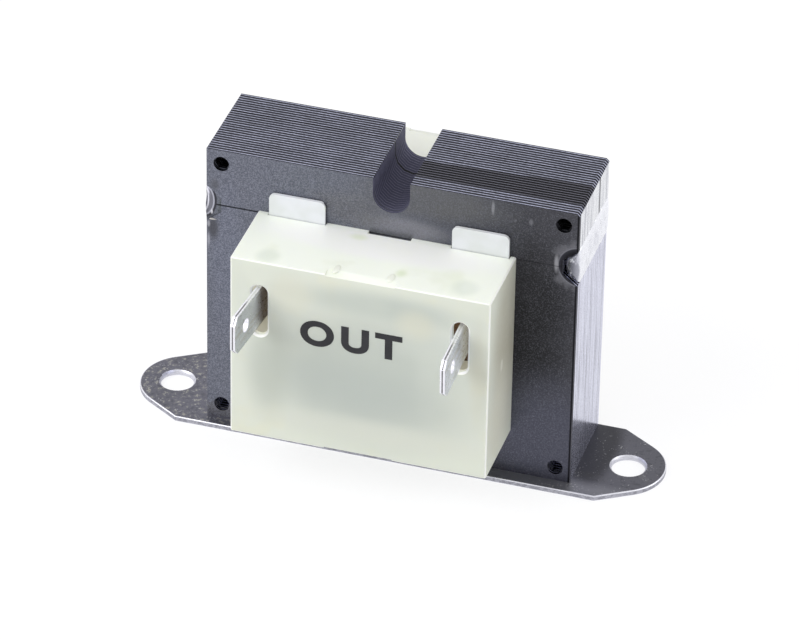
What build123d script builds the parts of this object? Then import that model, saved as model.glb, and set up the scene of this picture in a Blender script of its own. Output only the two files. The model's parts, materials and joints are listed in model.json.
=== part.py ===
from build123d import *
import os

# A small power transformer: a welded stack of E and I laminations stands on a foot plate, and two
# moulded covers shield the coil and its push-on terminals in front of and behind the stack.
# Frame: X runs along the foot plate, the load terminals face -Y and Z is up. The origin is the
# middle of the plate's underside, halfway between its two mounting holes. Sizes are in millimetres.
# Heights below are above the core's bottom, which lies on the plate.

# Laminations: a scrapless pattern, in which every size follows from the width of the middle leg
TONGUE_W = 19.05
WINDOW_W = TONGUE_W / 2
WINDOW_H = TONGUE_W * 3 / 2
YOKE_H = TONGUE_W / 2
CORE_W = TONGUE_W * 3
CORE_H = TONGUE_W * 5 / 2
LAMINATION_T = 0.6
LAMINATION_GAP = 0.025
LAMINATION_COUNT = 26
LAMINATION_PITCH = LAMINATION_T + LAMINATION_GAP
OUTER_LAYERS = (1, LAMINATION_COUNT)
BUTT_GAP = 0.04
STACK_D = LAMINATION_COUNT * LAMINATION_PITCH - LAMINATION_GAP

# Holes near the corners of each layer, and the notch for a strap across the top
CORNER_HOLE_R = 1.22
CORNER_HOLE_INSET = 2.3
CORNER_EASE = 0.45
INNER_HOLE_SIDES = 6
INNER_NOTCH_SIDES = 12
STRAP_NOTCH_W = 5.7
STRAP_NOTCH_D = 5.45

# Weld grooves across the butt joint on both sides, and the beads that fill them
JOINT_Z = YOKE_H + WINDOW_H
GROOVE_DEPTH = 2.3
GROOVE_HALF_H = 3.05
GROOVE_FLOOR_HALF_H = 1.2
BEAD_CROWN = 0.12
BEAD_INSET = 0.5

# Foot plate, from the core that it carries
PLATE_T = 0.9
PLATE_FRONT_MARGIN = 2.2475
PLATE_BACK_MARGIN = 0.1275
PLATE_SIDE_MARGIN = 4.425
HOLE_FROM_CORE = 7.25
EAR_CENTRE_INSET = 1.425
EAR_RADIUS = 7.1
MOUNT_HOLE_R = 2.55
MOUNT_LIP = 0.3
PLATE_W = STACK_D + PLATE_FRONT_MARGIN + PLATE_BACK_MARGIN
MOUNT_SPACING = CORE_W + 2 * HOLE_FROM_CORE
EAR_CENTRE_X = MOUNT_SPACING / 2 - EAR_CENTRE_INSET
CORE_Y = (PLATE_FRONT_MARGIN - PLATE_BACK_MARGIN) / 2
CORE_FRONT_Y = CORE_Y - STACK_D / 2

# Bobbin in the windows, and the windings side by side on it
BOBBIN_X = -0.2
BOBBIN_CLEAR_Z = 0.925
TUBE_CLEAR_X = 0.55
TUBE_CLEAR_Y = 0.3
TUBE_WALL = 0.9
FLANGE_T = 0.9
FLANGE_CLEAR_X = 0.75
WINDING_CLEAR = 0.05
WINDING_INSET = 0.875
WINDING_CORNER_R = 4.0
TERMINAL_ROOM = 4.35
BOBBIN_H = WINDOW_H - BOBBIN_CLEAR_Z
FLANGE_W = CORE_W - 2 * WINDOW_W - 2 * FLANGE_CLEAR_X
TUBE_REACH_X = TONGUE_W / 2 + TUBE_CLEAR_X + TUBE_WALL
TUBE_REACH_Y = STACK_D / 2 + TUBE_CLEAR_Y + TUBE_WALL
WINDING_BUILD = FLANGE_W / 2 - TUBE_REACH_X - WINDING_CLEAR - WINDING_INSET
FLANGE_REACH_Y = TUBE_REACH_Y + WINDING_CLEAR + WINDING_BUILD + TERMINAL_ROOM

# Tabs that stand up from the bobbin's upper flange, against the core
TAB_T = 0.5
TAB_W = 8.7
TAB_H = 4.9
TAB_PROUD = 0.15
TAB_CORNER_R = 0.9
TAB_CLEAR = 0.1
TAB_CENTRE_X = FLANGE_W / 2 - TAB_W / 2 + TAB_PROUD

# Push-on terminals, held by a prong in the bobbin's upper flange
BLADE_W = 6.35
BLADE_T = 0.8
BLADE_OUT = 9.3
BLADE_CHAMFER = 1.1
BLADE_HOLE_R = 1.05
BLADE_HOLE_FROM_TIP = 4.0
BLADE_TAIL = 0.15
PRONG_W = 1.8
PRONG_CLEAR = 0.08
BOSS_SIDE = 1.1
BOSS_END = 0.45
BOSS_CLEAR = 0.3
BOSS_W = BLADE_T + 2 * BOSS_SIDE
BOSS_D = PRONG_W + 2 * BOSS_END
PRONG_Y = CORE_Y - FLANGE_REACH_Y + BOSS_D / 2

# How each load blade sits: degrees bent towards -X, degrees drooping, and how much lower
LOAD_SPLAY = {"left": 5.0, "right": -0.5}
LOAD_DROOP = {"left": 0.0, "right": 2.0}
LOAD_DROP = {"left": 0.0, "right": 0.4}

# Covers, from the bobbin that they shield
COVER_X = -0.62
COVER_WALL = 0.9
COVER_CLEAR_X = 0.65
COVER_CLEAR_Y = 0.3
COVER_CLEAR_ABOVE = 0.325
COVER_CLEAR_BELOW = 1.225
COVER_EDGE_CHAMFER = 0.2
SLOT_SIDE_GAP = 0.8
SLOT_END_GAP = 1.15
SLOT_LEAD_IN = 0.3
SLOT_FROM_SIDE = 4.5
SLOT_FROM_TOP = 8.6
BLADE_RISE = 0.8
TAB_NOTCH_CLEAR = 0.15
REAR_STEP_W = 6.6
REAR_STEP_H = 0.6
REAR_STEP_D = 0.8
GRIP_W = 10.6
GRIP_DEPTH = 0.3
GRIP_LENGTH = 1.6
COVER_W = FLANGE_W + 2 * COVER_WALL + 2 * COVER_CLEAR_X
COVER_H = BOBBIN_H + 2 * COVER_WALL + COVER_CLEAR_ABOVE + COVER_CLEAR_BELOW
COVER_BASE_Z = YOKE_H - COVER_CLEAR_BELOW - COVER_WALL
COVER_FRONT_Y = CORE_Y - FLANGE_REACH_Y - COVER_CLEAR_Y - COVER_WALL
COVER_D = CORE_FRONT_Y - COVER_FRONT_Y
SLOT_W = BLADE_T + 2 * SLOT_SIDE_GAP
SLOT_H = BLADE_W + 2 * SLOT_END_GAP
SLOT_X = COVER_W / 2 - SLOT_FROM_SIDE
SLOT_Z = COVER_BASE_Z + COVER_H - SLOT_FROM_TOP
BLADE_Z = SLOT_Z + BLADE_RISE
BLADE_SHIFT_X = COVER_X - BOBBIN_X

Z0 = PLATE_T


def save(part, name, color):
    """Write one sub-part under its own name."""
    part.label = name
    part.color = Color(*color)
    export_step(part, f"parts/{name}.step")


def upright_plate(face, front_y, thickness):
    """Turn a face drawn in X and Z into a plate whose front lies at front_y."""
    return extrude(Plane.XZ.offset(-front_y) * face, -thickness)


def corner_hole(x, z, is_round):
    """One hole near a corner: round in the two outer layers, six-sided in those between."""
    if is_round:
        return Pos(x, z) * Circle(CORNER_HOLE_R)
    return Pos(x, z) * RegularPolygon(CORNER_HOLE_R, INNER_HOLE_SIDES)


def foot_plate():
    """Flat plate with tapered, rounded ears and one mounting hole in each."""
    blank = Rectangle(CORE_W + 2 * PLATE_SIDE_MARGIN, PLATE_W)
    ears = [Pos(side * EAR_CENTRE_X, 0) * Circle(EAR_RADIUS) for side in (-1, 1)]
    outline = make_hull((blank + ears[0] + ears[1]).edges())
    plate = extrude(outline, PLATE_T)
    for side in (-1, 1):
        plate -= Pos(side * MOUNT_SPACING / 2, 0, PLATE_T / 2) * Cylinder(MOUNT_HOLE_R, PLATE_T)
    rims = plate.edges().filter_by(GeomType.CIRCLE).group_by(Axis.Z)[-1]
    rims = [e for e in rims if e.radius < EAR_RADIUS / 2]
    return chamfer(rims, MOUNT_LIP)


def e_face(is_round):
    """Outline of an E lamination, legs up, with half of each weld groove and the lower holes."""
    half = CORE_W / 2
    tongue = TONGUE_W / 2
    window = tongue + WINDOW_W
    top = JOINT_Z - BUTT_GAP / 2
    right = [
        (half, 0),
        (half, JOINT_Z - GROOVE_HALF_H),
        (half - GROOVE_DEPTH, JOINT_Z - GROOVE_FLOOR_HALF_H),
        (half - GROOVE_DEPTH, top),
        (window, top),
        (window, YOKE_H),
        (tongue, YOKE_H),
        (tongue, top),
    ]
    face = make_face(Polyline(*right, *[(-x, z) for x, z in reversed(right)], close=True))
    for side in (-1, 1):
        face -= corner_hole(side * (half - CORNER_HOLE_INSET), CORNER_HOLE_INSET, is_round)
    return face


def i_face(is_round):
    """Outline of an I lamination with the strap notch, the other half of each groove and two holes."""
    half = CORE_W / 2
    groove = [
        (half - GROOVE_DEPTH, JOINT_Z + BUTT_GAP / 2),
        (half - GROOVE_DEPTH, JOINT_Z + GROOVE_FLOOR_HALF_H),
        (half, JOINT_Z + GROOVE_HALF_H),
    ]
    top = [(half, CORE_H - CORNER_EASE), (half - CORNER_EASE, CORE_H), (-half, CORE_H)]
    face = make_face(Polyline(*groove, *top, *[(-x, z) for x, z in reversed(groove)], close=True))
    notch_r = STRAP_NOTCH_W / 2
    shoulder = STRAP_NOTCH_D - notch_r
    notch_end = Circle(notch_r) if is_round else RegularPolygon(notch_r, INNER_NOTCH_SIDES)
    face -= Pos(0, CORE_H - shoulder) * notch_end
    face -= Pos(0, CORE_H) * Rectangle(STRAP_NOTCH_W, 2 * shoulder)
    for side in (-1, 1):
        face -= corner_hole(side * (half - CORNER_HOLE_INSET), CORE_H - CORNER_HOLE_INSET, is_round)
    return face


def layer_front(number):
    """Front of a layer, counted from 1 at the front of the stack."""
    return CORE_FRONT_Y + (number - 1) * LAMINATION_PITCH


def lamination(face_of, number):
    """One layer of the stack, standing on the foot plate."""
    face = face_of(number in OUTER_LAYERS)
    return Pos(0, 0, Z0) * upright_plate(face, layer_front(number), LAMINATION_T)


def weld_bead(side):
    """Bead along one side of the stack, stopping a little short of its front and back."""
    half = CORE_W / 2
    seat = Polyline(
        (half, JOINT_Z + GROOVE_HALF_H),
        (half - GROOVE_DEPTH, JOINT_Z + GROOVE_FLOOR_HALF_H),
        (half - GROOVE_DEPTH, JOINT_Z - GROOVE_FLOOR_HALF_H),
        (half, JOINT_Z - GROOVE_HALF_H),
    )
    crown = ThreePointArc(seat @ 1, (half + BEAD_CROWN, JOINT_Z), seat @ 0)
    section = make_face([seat, crown])
    bead = Pos(0, 0, Z0) * upright_plate(section, CORE_FRONT_Y + BEAD_INSET, STACK_D - 2 * BEAD_INSET)
    return bead if side > 0 else mirror(bead, Plane.YZ)


def both_ways(shape):
    """A shape made at the front of the stack together with its mirror image at the back."""
    return [shape, mirror(shape, Plane.XZ.offset(-CORE_Y))]


def bobbin():
    """Coil former: a tube round the middle leg, flanges, a divider, tabs and terminal bosses."""
    base = Z0 + YOKE_H
    tube = Rectangle(2 * TUBE_REACH_X, 2 * TUBE_REACH_Y)
    flange = Rectangle(FLANGE_W, 2 * FLANGE_REACH_Y)
    body = Pos(0, CORE_Y, base) * extrude(tube, BOBBIN_H)
    for z in flange_bases():
        body += Pos(0, CORE_Y, z) * extrude(flange, FLANGE_T)
    top = base + BOBBIN_H
    boss_h = top - FLANGE_T - BOSS_CLEAR - Z0 - BLADE_Z - BLADE_W / 2
    for side in (-1, 1):
        tab = upright_plate(
            Rectangle(TAB_W, TAB_H + FLANGE_T, align=(Align.CENTER, Align.MIN)),
            CORE_FRONT_Y - TAB_CLEAR - TAB_T,
            TAB_T,
        )
        upper = tab.edges().filter_by(Axis.Y).group_by(Axis.Z)[-1]
        tab = fillet(upper, TAB_CORNER_R)
        tab = Pos(side * TAB_CENTRE_X, 0, top - FLANGE_T) * tab
        blade_x = BLADE_SHIFT_X + side * SLOT_X
        boss = Pos(blade_x, PRONG_Y, top - FLANGE_T - boss_h / 2) * Box(BOSS_W, BOSS_D, boss_h)
        for piece in both_ways(tab) + both_ways(boss):
            body += piece
        slit = Box(BLADE_T + 2 * PRONG_CLEAR, PRONG_W + 2 * PRONG_CLEAR, 2 * (boss_h + FLANGE_T))
        prong = Pos(blade_x, PRONG_Y, top - FLANGE_T) * slit
        for piece in both_ways(prong):
            body -= piece
    hollow = Box(2 * (TUBE_REACH_X - TUBE_WALL), 2 * (TUBE_REACH_Y - TUBE_WALL), 2 * BOBBIN_H)
    body -= Pos(0, CORE_Y, base + BOBBIN_H / 2) * hollow
    return Pos(BOBBIN_X, 0, 0) * body


def flange_bases():
    """Undersides of the lower flange, the divider and the upper flange."""
    low = Z0 + YOKE_H
    high = low + BOBBIN_H - FLANGE_T
    return low, (low + high) / 2, high


def winding(section_number):
    """One winding: a ring round the bobbin's tube, in its lower (0) or upper (1) section."""
    inner_x = 2 * (TUBE_REACH_X + WINDING_CLEAR)
    inner_y = 2 * (TUBE_REACH_Y + WINDING_CLEAR)
    ring = RectangleRounded(inner_x + 2 * WINDING_BUILD, inner_y + 2 * WINDING_BUILD, WINDING_CORNER_R)
    ring -= Rectangle(inner_x, inner_y)
    base = flange_bases()[section_number] + FLANGE_T + WINDING_CLEAR
    height = flange_bases()[section_number + 1] - WINDING_CLEAR - base
    return Pos(BOBBIN_X, CORE_Y, base) * extrude(ring, height)


def cover():
    """Front cover: an open-backed box against the stack, with slots for the terminals."""
    middle = (COVER_X, CORE_FRONT_Y - COVER_D / 2, Z0 + COVER_BASE_Z + COVER_H / 2)
    shell = Pos(*middle) * Box(COVER_W, COVER_D, COVER_H)
    rear = shell.edges().group_by(Axis.Y)[-1]
    shell = chamfer([e for e in shell.edges() if e not in rear], COVER_EDGE_CHAMFER)
    hollow = Box(COVER_W - 2 * COVER_WALL, COVER_D, COVER_H - 2 * COVER_WALL)
    shell -= Pos(middle[0], middle[1] + COVER_WALL, middle[2]) * hollow
    for side in (-1, 1):
        centre = (COVER_X + side * SLOT_X, Z0 + SLOT_Z)
        slot = Pos(*centre) * SlotOverall(SLOT_H, SLOT_W, rotation=90)
        shell -= upright_plate(slot, COVER_FRONT_Y, COVER_WALL)
    mouths = shell.faces().sort_by(Axis.Y)[0].inner_wires().edges()
    return cut_cover_edges(chamfer(mouths, SLOT_LEAD_IN))


def cut_cover_edges(shell):
    """Cut the tab notches, the step at the back edge and the finger grips into a front cover."""
    top_z = Z0 + COVER_BASE_Z + COVER_H
    notch_d = TAB_CLEAR + TAB_T + TAB_NOTCH_CLEAR
    for side in (-1, 1):
        notch = Box(TAB_W + 2 * TAB_NOTCH_CLEAR, 2 * notch_d, 2 * COVER_WALL)
        shell -= Pos(BOBBIN_X + side * TAB_CENTRE_X, CORE_FRONT_Y, top_z) * notch
    shell -= Pos(0, CORE_FRONT_Y, top_z) * Box(REAR_STEP_W, 2 * REAR_STEP_D, 2 * REAR_STEP_H)
    for z, inward in ((Z0 + COVER_BASE_Z, GRIP_DEPTH), (top_z, -GRIP_DEPTH)):
        wedge = Polyline((COVER_FRONT_Y, z + inward), (COVER_FRONT_Y, z), (COVER_FRONT_Y + GRIP_LENGTH, z), close=True)
        shell -= Pos(COVER_X, 0, 0) * extrude(Plane.YZ * make_face(wedge), GRIP_W / 2, both=True)
    return shell


def terminal(side, splay=0, droop=0, drop=0):
    """Front terminal: a blade on edge, with a hole, chamfered tip and a prong up through the flange."""
    tip = COVER_FRONT_Y - BLADE_OUT
    low = BLADE_Z - BLADE_W / 2
    high = BLADE_Z + BLADE_W / 2
    prong_top = YOKE_H + BOBBIN_H
    prong_front = PRONG_Y - PRONG_W / 2
    prong_back = PRONG_Y + PRONG_W / 2
    tail = prong_back + BLADE_TAIL
    outline = Polyline(
        (tip, low + BLADE_CHAMFER),
        (tip + BLADE_CHAMFER, low),
        (tail, low),
        (tail, high),
        (prong_back, high),
        (prong_back, prong_top),
        (prong_front, prong_top),
        (prong_front, high),
        (tip + BLADE_CHAMFER, high),
        (tip, high - BLADE_CHAMFER),
        close=True,
    )
    face = make_face(outline) - Pos(tip + BLADE_HOLE_FROM_TIP, BLADE_Z) * Circle(BLADE_HOLE_R)
    blade = extrude(Plane.YZ * face, BLADE_T / 2, both=True)
    seat_z = prong_top - FLANGE_T / 2
    turned = Rot(0, 0, -splay) * (Rot(droop, 0, 0) * (Pos(0, -PRONG_Y, -seat_z) * blade))
    return Pos(COVER_X + side * SLOT_X, PRONG_Y, Z0 + seat_z - drop) * turned


def build():
    """Build and write every sub-part."""
    os.makedirs("parts", exist_ok=True)
    steel = (0.45, 0.46, 0.50)
    nylon = (0.85, 0.87, 0.82)
    tin = (0.66, 0.66, 0.66)
    back_plane = Plane.XZ.offset(-CORE_Y)
    save(foot_plate(), "foot_plate", (0.35, 0.35, 0.38))
    for number in range(1, LAMINATION_COUNT + 1):
        save(lamination(e_face, number), f"e_lamination_{number:02d}", steel)
    bars = [lamination(i_face, number) for number in range(1, LAMINATION_COUNT + 1)]
    save(Compound(children=bars), "i_laminations", (0.55, 0.56, 0.60))
    save(weld_bead(-1), "weld_bead_left", (0.75, 0.75, 0.78))
    save(weld_bead(1), "weld_bead_right", (0.75, 0.75, 0.78))
    save(bobbin(), "bobbin", (0.9, 0.9, 0.95))
    save(winding(0), "primary_winding", (0.45, 0.22, 0.10))
    save(winding(1), "secondary_winding", (0.50, 0.26, 0.12))
    front_cover = cover()
    save(front_cover, "front_cover", nylon)
    save(mirror(front_cover, back_plane), "rear_cover", nylon)
    for name, side in (("left", -1), ("right", 1)):
        load_terminal = terminal(side, LOAD_SPLAY[name], LOAD_DROOP[name], LOAD_DROP[name])
        save(load_terminal, f"load_terminal_{name}", tin)
        save(mirror(terminal(side), back_plane), f"line_terminal_{name}", tin)


build()
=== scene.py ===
"""Looks of a small power transformer: its finishes, softened shells, weld beads, wire turns and camera."""

import json
import logging
import math
from abc import ABC, abstractmethod
from collections.abc import Sequence
from dataclasses import dataclass
from enum import Enum
from functools import reduce
from typing import Union

import bmesh
import bpy
from mathutils import Matrix, Vector, noise

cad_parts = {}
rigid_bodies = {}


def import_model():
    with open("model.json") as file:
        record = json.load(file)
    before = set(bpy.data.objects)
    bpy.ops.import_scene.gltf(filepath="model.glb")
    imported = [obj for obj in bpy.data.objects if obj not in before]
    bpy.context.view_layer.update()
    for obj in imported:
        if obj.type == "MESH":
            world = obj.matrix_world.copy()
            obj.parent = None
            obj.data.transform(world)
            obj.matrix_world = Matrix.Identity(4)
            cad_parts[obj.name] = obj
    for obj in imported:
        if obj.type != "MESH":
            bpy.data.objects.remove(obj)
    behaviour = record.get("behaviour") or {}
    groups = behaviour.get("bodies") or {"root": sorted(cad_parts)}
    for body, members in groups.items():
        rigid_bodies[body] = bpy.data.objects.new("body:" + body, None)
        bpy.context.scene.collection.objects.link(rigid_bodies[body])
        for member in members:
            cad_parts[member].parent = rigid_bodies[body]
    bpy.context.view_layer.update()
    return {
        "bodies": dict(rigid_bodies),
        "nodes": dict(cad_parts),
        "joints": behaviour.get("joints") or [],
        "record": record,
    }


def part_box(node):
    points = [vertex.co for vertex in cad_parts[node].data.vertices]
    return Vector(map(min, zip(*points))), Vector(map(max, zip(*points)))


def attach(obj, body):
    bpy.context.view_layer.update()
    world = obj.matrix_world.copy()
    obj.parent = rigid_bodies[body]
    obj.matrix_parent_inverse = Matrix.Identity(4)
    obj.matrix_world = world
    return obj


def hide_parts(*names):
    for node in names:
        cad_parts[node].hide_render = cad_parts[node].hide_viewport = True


LOG = logging.getLogger("transformer")
MM = 0.001
# How far a patch reaches into the stack, and through the whole object, in millimetres
THROUGH = 30.0
FAR = 60.0

Socket = bpy.types.NodeSocket
Value = Union[Socket, float, Sequence[float]]
Color = tuple[float, float, float, float]
Point = tuple[float, float, float]
Box = tuple[Point, Point]


def shown(red: float, green: float, blue: float) -> Color:
    """Turn a colour as a screen shows it, from 0 to 255, into the shader's linear values.

    Args:
        red: Red, 0 to 255.
        green: Green, 0 to 255.
        blue: Blue, 0 to 255.

    Returns:
        Linear red, green, blue and alpha.
    """
    channels = []
    for level in (red, green, blue):
        share = level / 255
        channels.append(share / 12.92 if share <= 0.04045 else ((share + 0.055) / 1.055) ** 2.4)
    return (channels[0], channels[1], channels[2], 1.0)


def metres(lengths: Sequence[float]) -> list[float]:
    """Lengths in millimetres, as metres."""
    return [length * MM for length in lengths]


class Side(Enum):
    """The two ends of the core, seen from the load side."""

    LEFT = -1
    RIGHT = 1


class Graph:
    """A node tree with short ways to add and join nodes."""

    def __init__(self, tree: bpy.types.NodeTree) -> None:
        """Hold the tree that the nodes are added to."""
        self.tree = tree

    def node(self, kind: str, values: Union[dict, None] = None, **settings: object) -> bpy.types.Node:
        """Add a node.

        Args:
            kind: The node's Blender type.
            values: A socket or plain value for its inputs, by their names or numbers.
            settings: Attributes to set on it.

        Returns:
            The new node.
        """
        made = self.tree.nodes.new(kind)
        for name, setting in settings.items():
            setattr(made, name, setting)
        for name, value in (values or {}).items():
            self.feed(value, made.inputs[name])
        return made

    def feed(self, source: Value, target: Socket) -> None:
        """Join a socket to an input, or write a plain value there.

        Args:
            source: The socket or value.
            target: The input.
        """
        if isinstance(source, bpy.types.NodeSocket):
            self.tree.links.new(source, target)
        else:
            target.default_value = source

    def math(self, operation: str, *values: Value, clamp: bool = False) -> Socket:
        """Add a Math node.

        Args:
            operation: The node's operation.
            values: Sockets or numbers for its inputs, in order.
            clamp: Whether the result is held between 0 and 1.

        Returns:
            Its result.
        """
        made = self.node("ShaderNodeMath", dict(enumerate(values)), operation=operation, use_clamp=clamp)
        return made.outputs[0]

    def plus(self, first: Value, second: Value, clamp: bool = False) -> Socket:
        """The sum of two values."""
        return self.math("ADD", first, second, clamp=clamp)

    def minus(self, first: Value, second: Value, clamp: bool = False) -> Socket:
        """The first value less the second."""
        return self.math("SUBTRACT", first, second, clamp=clamp)

    def times(self, *values: Value) -> Socket:
        """The product of one or more values."""
        return reduce(lambda first, second: self.math("MULTIPLY", first, second), values)

    def largest(self, *values: Value) -> Socket:
        """The largest of one or more values."""
        return reduce(lambda first, second: self.math("MAXIMUM", first, second), values)

    def line(self, value: Value, slope: Value, start: Value, clamp: bool = False) -> Socket:
        """A value times a slope, plus a start."""
        return self.math("MULTIPLY_ADD", value, slope, start, clamp=clamp)

    def size(self, value: Value) -> Socket:
        """A value without its sign."""
        return self.math("ABSOLUTE", value)

    def apart(self, first: Value, second: Value) -> Socket:
        """How far two values lie apart."""
        return self.size(self.minus(first, second))

    def vector(self, operation: str, *values: Value) -> Socket:
        """Add a Vector Math node.

        Args:
            operation: The node's operation.
            values: Sockets or vectors for its inputs, in order.

        Returns:
            Its result, a number for a length.
        """
        made = self.node("ShaderNodeVectorMath", dict(enumerate(values)), operation=operation)
        return made.outputs["Value" if operation == "LENGTH" else "Vector"]

    def remap(self, value: Value, low: Value, high: Value, start: Value = 0.0, end: Value = 1.0) -> Socket:
        """Map a value smoothly from one range to another and hold it there.

        Args:
            value: The value to map.
            low: Where the first range starts.
            high: Where the first range ends.
            start: What low becomes.
            end: What high becomes.

        Returns:
            The mapped value.
        """
        values = dict(enumerate((value, low, high, start, end)))
        return self.node("ShaderNodeMapRange", values, interpolation_type="SMOOTHSTEP").outputs[0]

    def mix(self, share: Value, first: Value, second: Value, blend: str = "MIX") -> Socket:
        """Mix two colours.

        Args:
            share: How much of the second colour is used.
            first: The first colour.
            second: The second colour.
            blend: The way the colours are mixed.

        Returns:
            The mixed colour.
        """
        values = {0: share, 6: first, 7: second}
        return self.node("ShaderNodeMix", values, data_type="RGBA", blend_type=blend).outputs[2]

    def lay(self, below: Value, color: Value, *shares: Value) -> Socket:
        """Lay a colour over the one below it, by the product of some shares."""
        return self.mix(self.times(*shares), below, color)

    def grey(self, level: Value) -> Socket:
        """A grey of the given level."""
        return self.node("ShaderNodeCombineColor", {0: level, 1: level, 2: level}).outputs[0]

    def noise(self, place: Socket, scale: Value, detail: float = 3.0, roughness: float = 0.5) -> Socket:
        """Add a Noise Texture on a place and return its value."""
        values = {"Vector": place, "Scale": scale, "Detail": detail, "Roughness": roughness}
        return self.node("ShaderNodeTexNoise", values, noise_dimensions="3D").outputs["Fac"]

    def stretch(self, place: Socket, scale: Sequence[float]) -> Socket:
        """Scale a place by a fixed vector, so that a pattern on it runs along an axis."""
        return self.node("ShaderNodeMapping", {"Vector": place, "Scale": scale}).outputs["Vector"]

    def split(self, place: Socket) -> tuple[Socket, Socket, Socket]:
        """Split a vector into its three numbers."""
        return tuple(self.node("ShaderNodeSeparateXYZ", {0: place}).outputs)

    def group(self, tree: bpy.types.NodeTree, **values: Value) -> bpy.types.Node:
        """Place a group, with a socket or plain value for each named input and _ for a space."""
        named = {name.replace("_", " "): value for name, value in values.items()}
        return self.node("ShaderNodeGroup", named, node_tree=tree)


def new_group(
    name: str, vectors: Sequence[str], floats: Sequence[str], outputs: Sequence[str]
) -> tuple[Graph, dict, dict]:
    """Start a shader node group.

    Args:
        name: The group's name.
        vectors: Names of its vector inputs.
        floats: Names of its number inputs, which follow them.
        outputs: Names of its outputs, all numbers.

    Returns:
        The group's graph, its inputs' sockets and its outputs' sockets.
    """
    tree = bpy.data.node_groups.new(name, "ShaderNodeTree")
    sockets = [(label, "INPUT", "NodeSocketVector") for label in vectors]
    sockets += [(label, "INPUT", "NodeSocketFloat") for label in floats]
    sockets += [(label, "OUTPUT", "NodeSocketFloat") for label in outputs]
    for label, in_out, kind in sockets:
        tree.interface.new_socket(label, in_out=in_out, socket_type=kind)
    graph = Graph(tree)
    entry = graph.node("NodeGroupInput").outputs
    leave = graph.node("NodeGroupOutput").inputs
    return graph, {k: entry[k] for k in (*vectors, *floats)}, {k: leave[k] for k in outputs}


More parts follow.
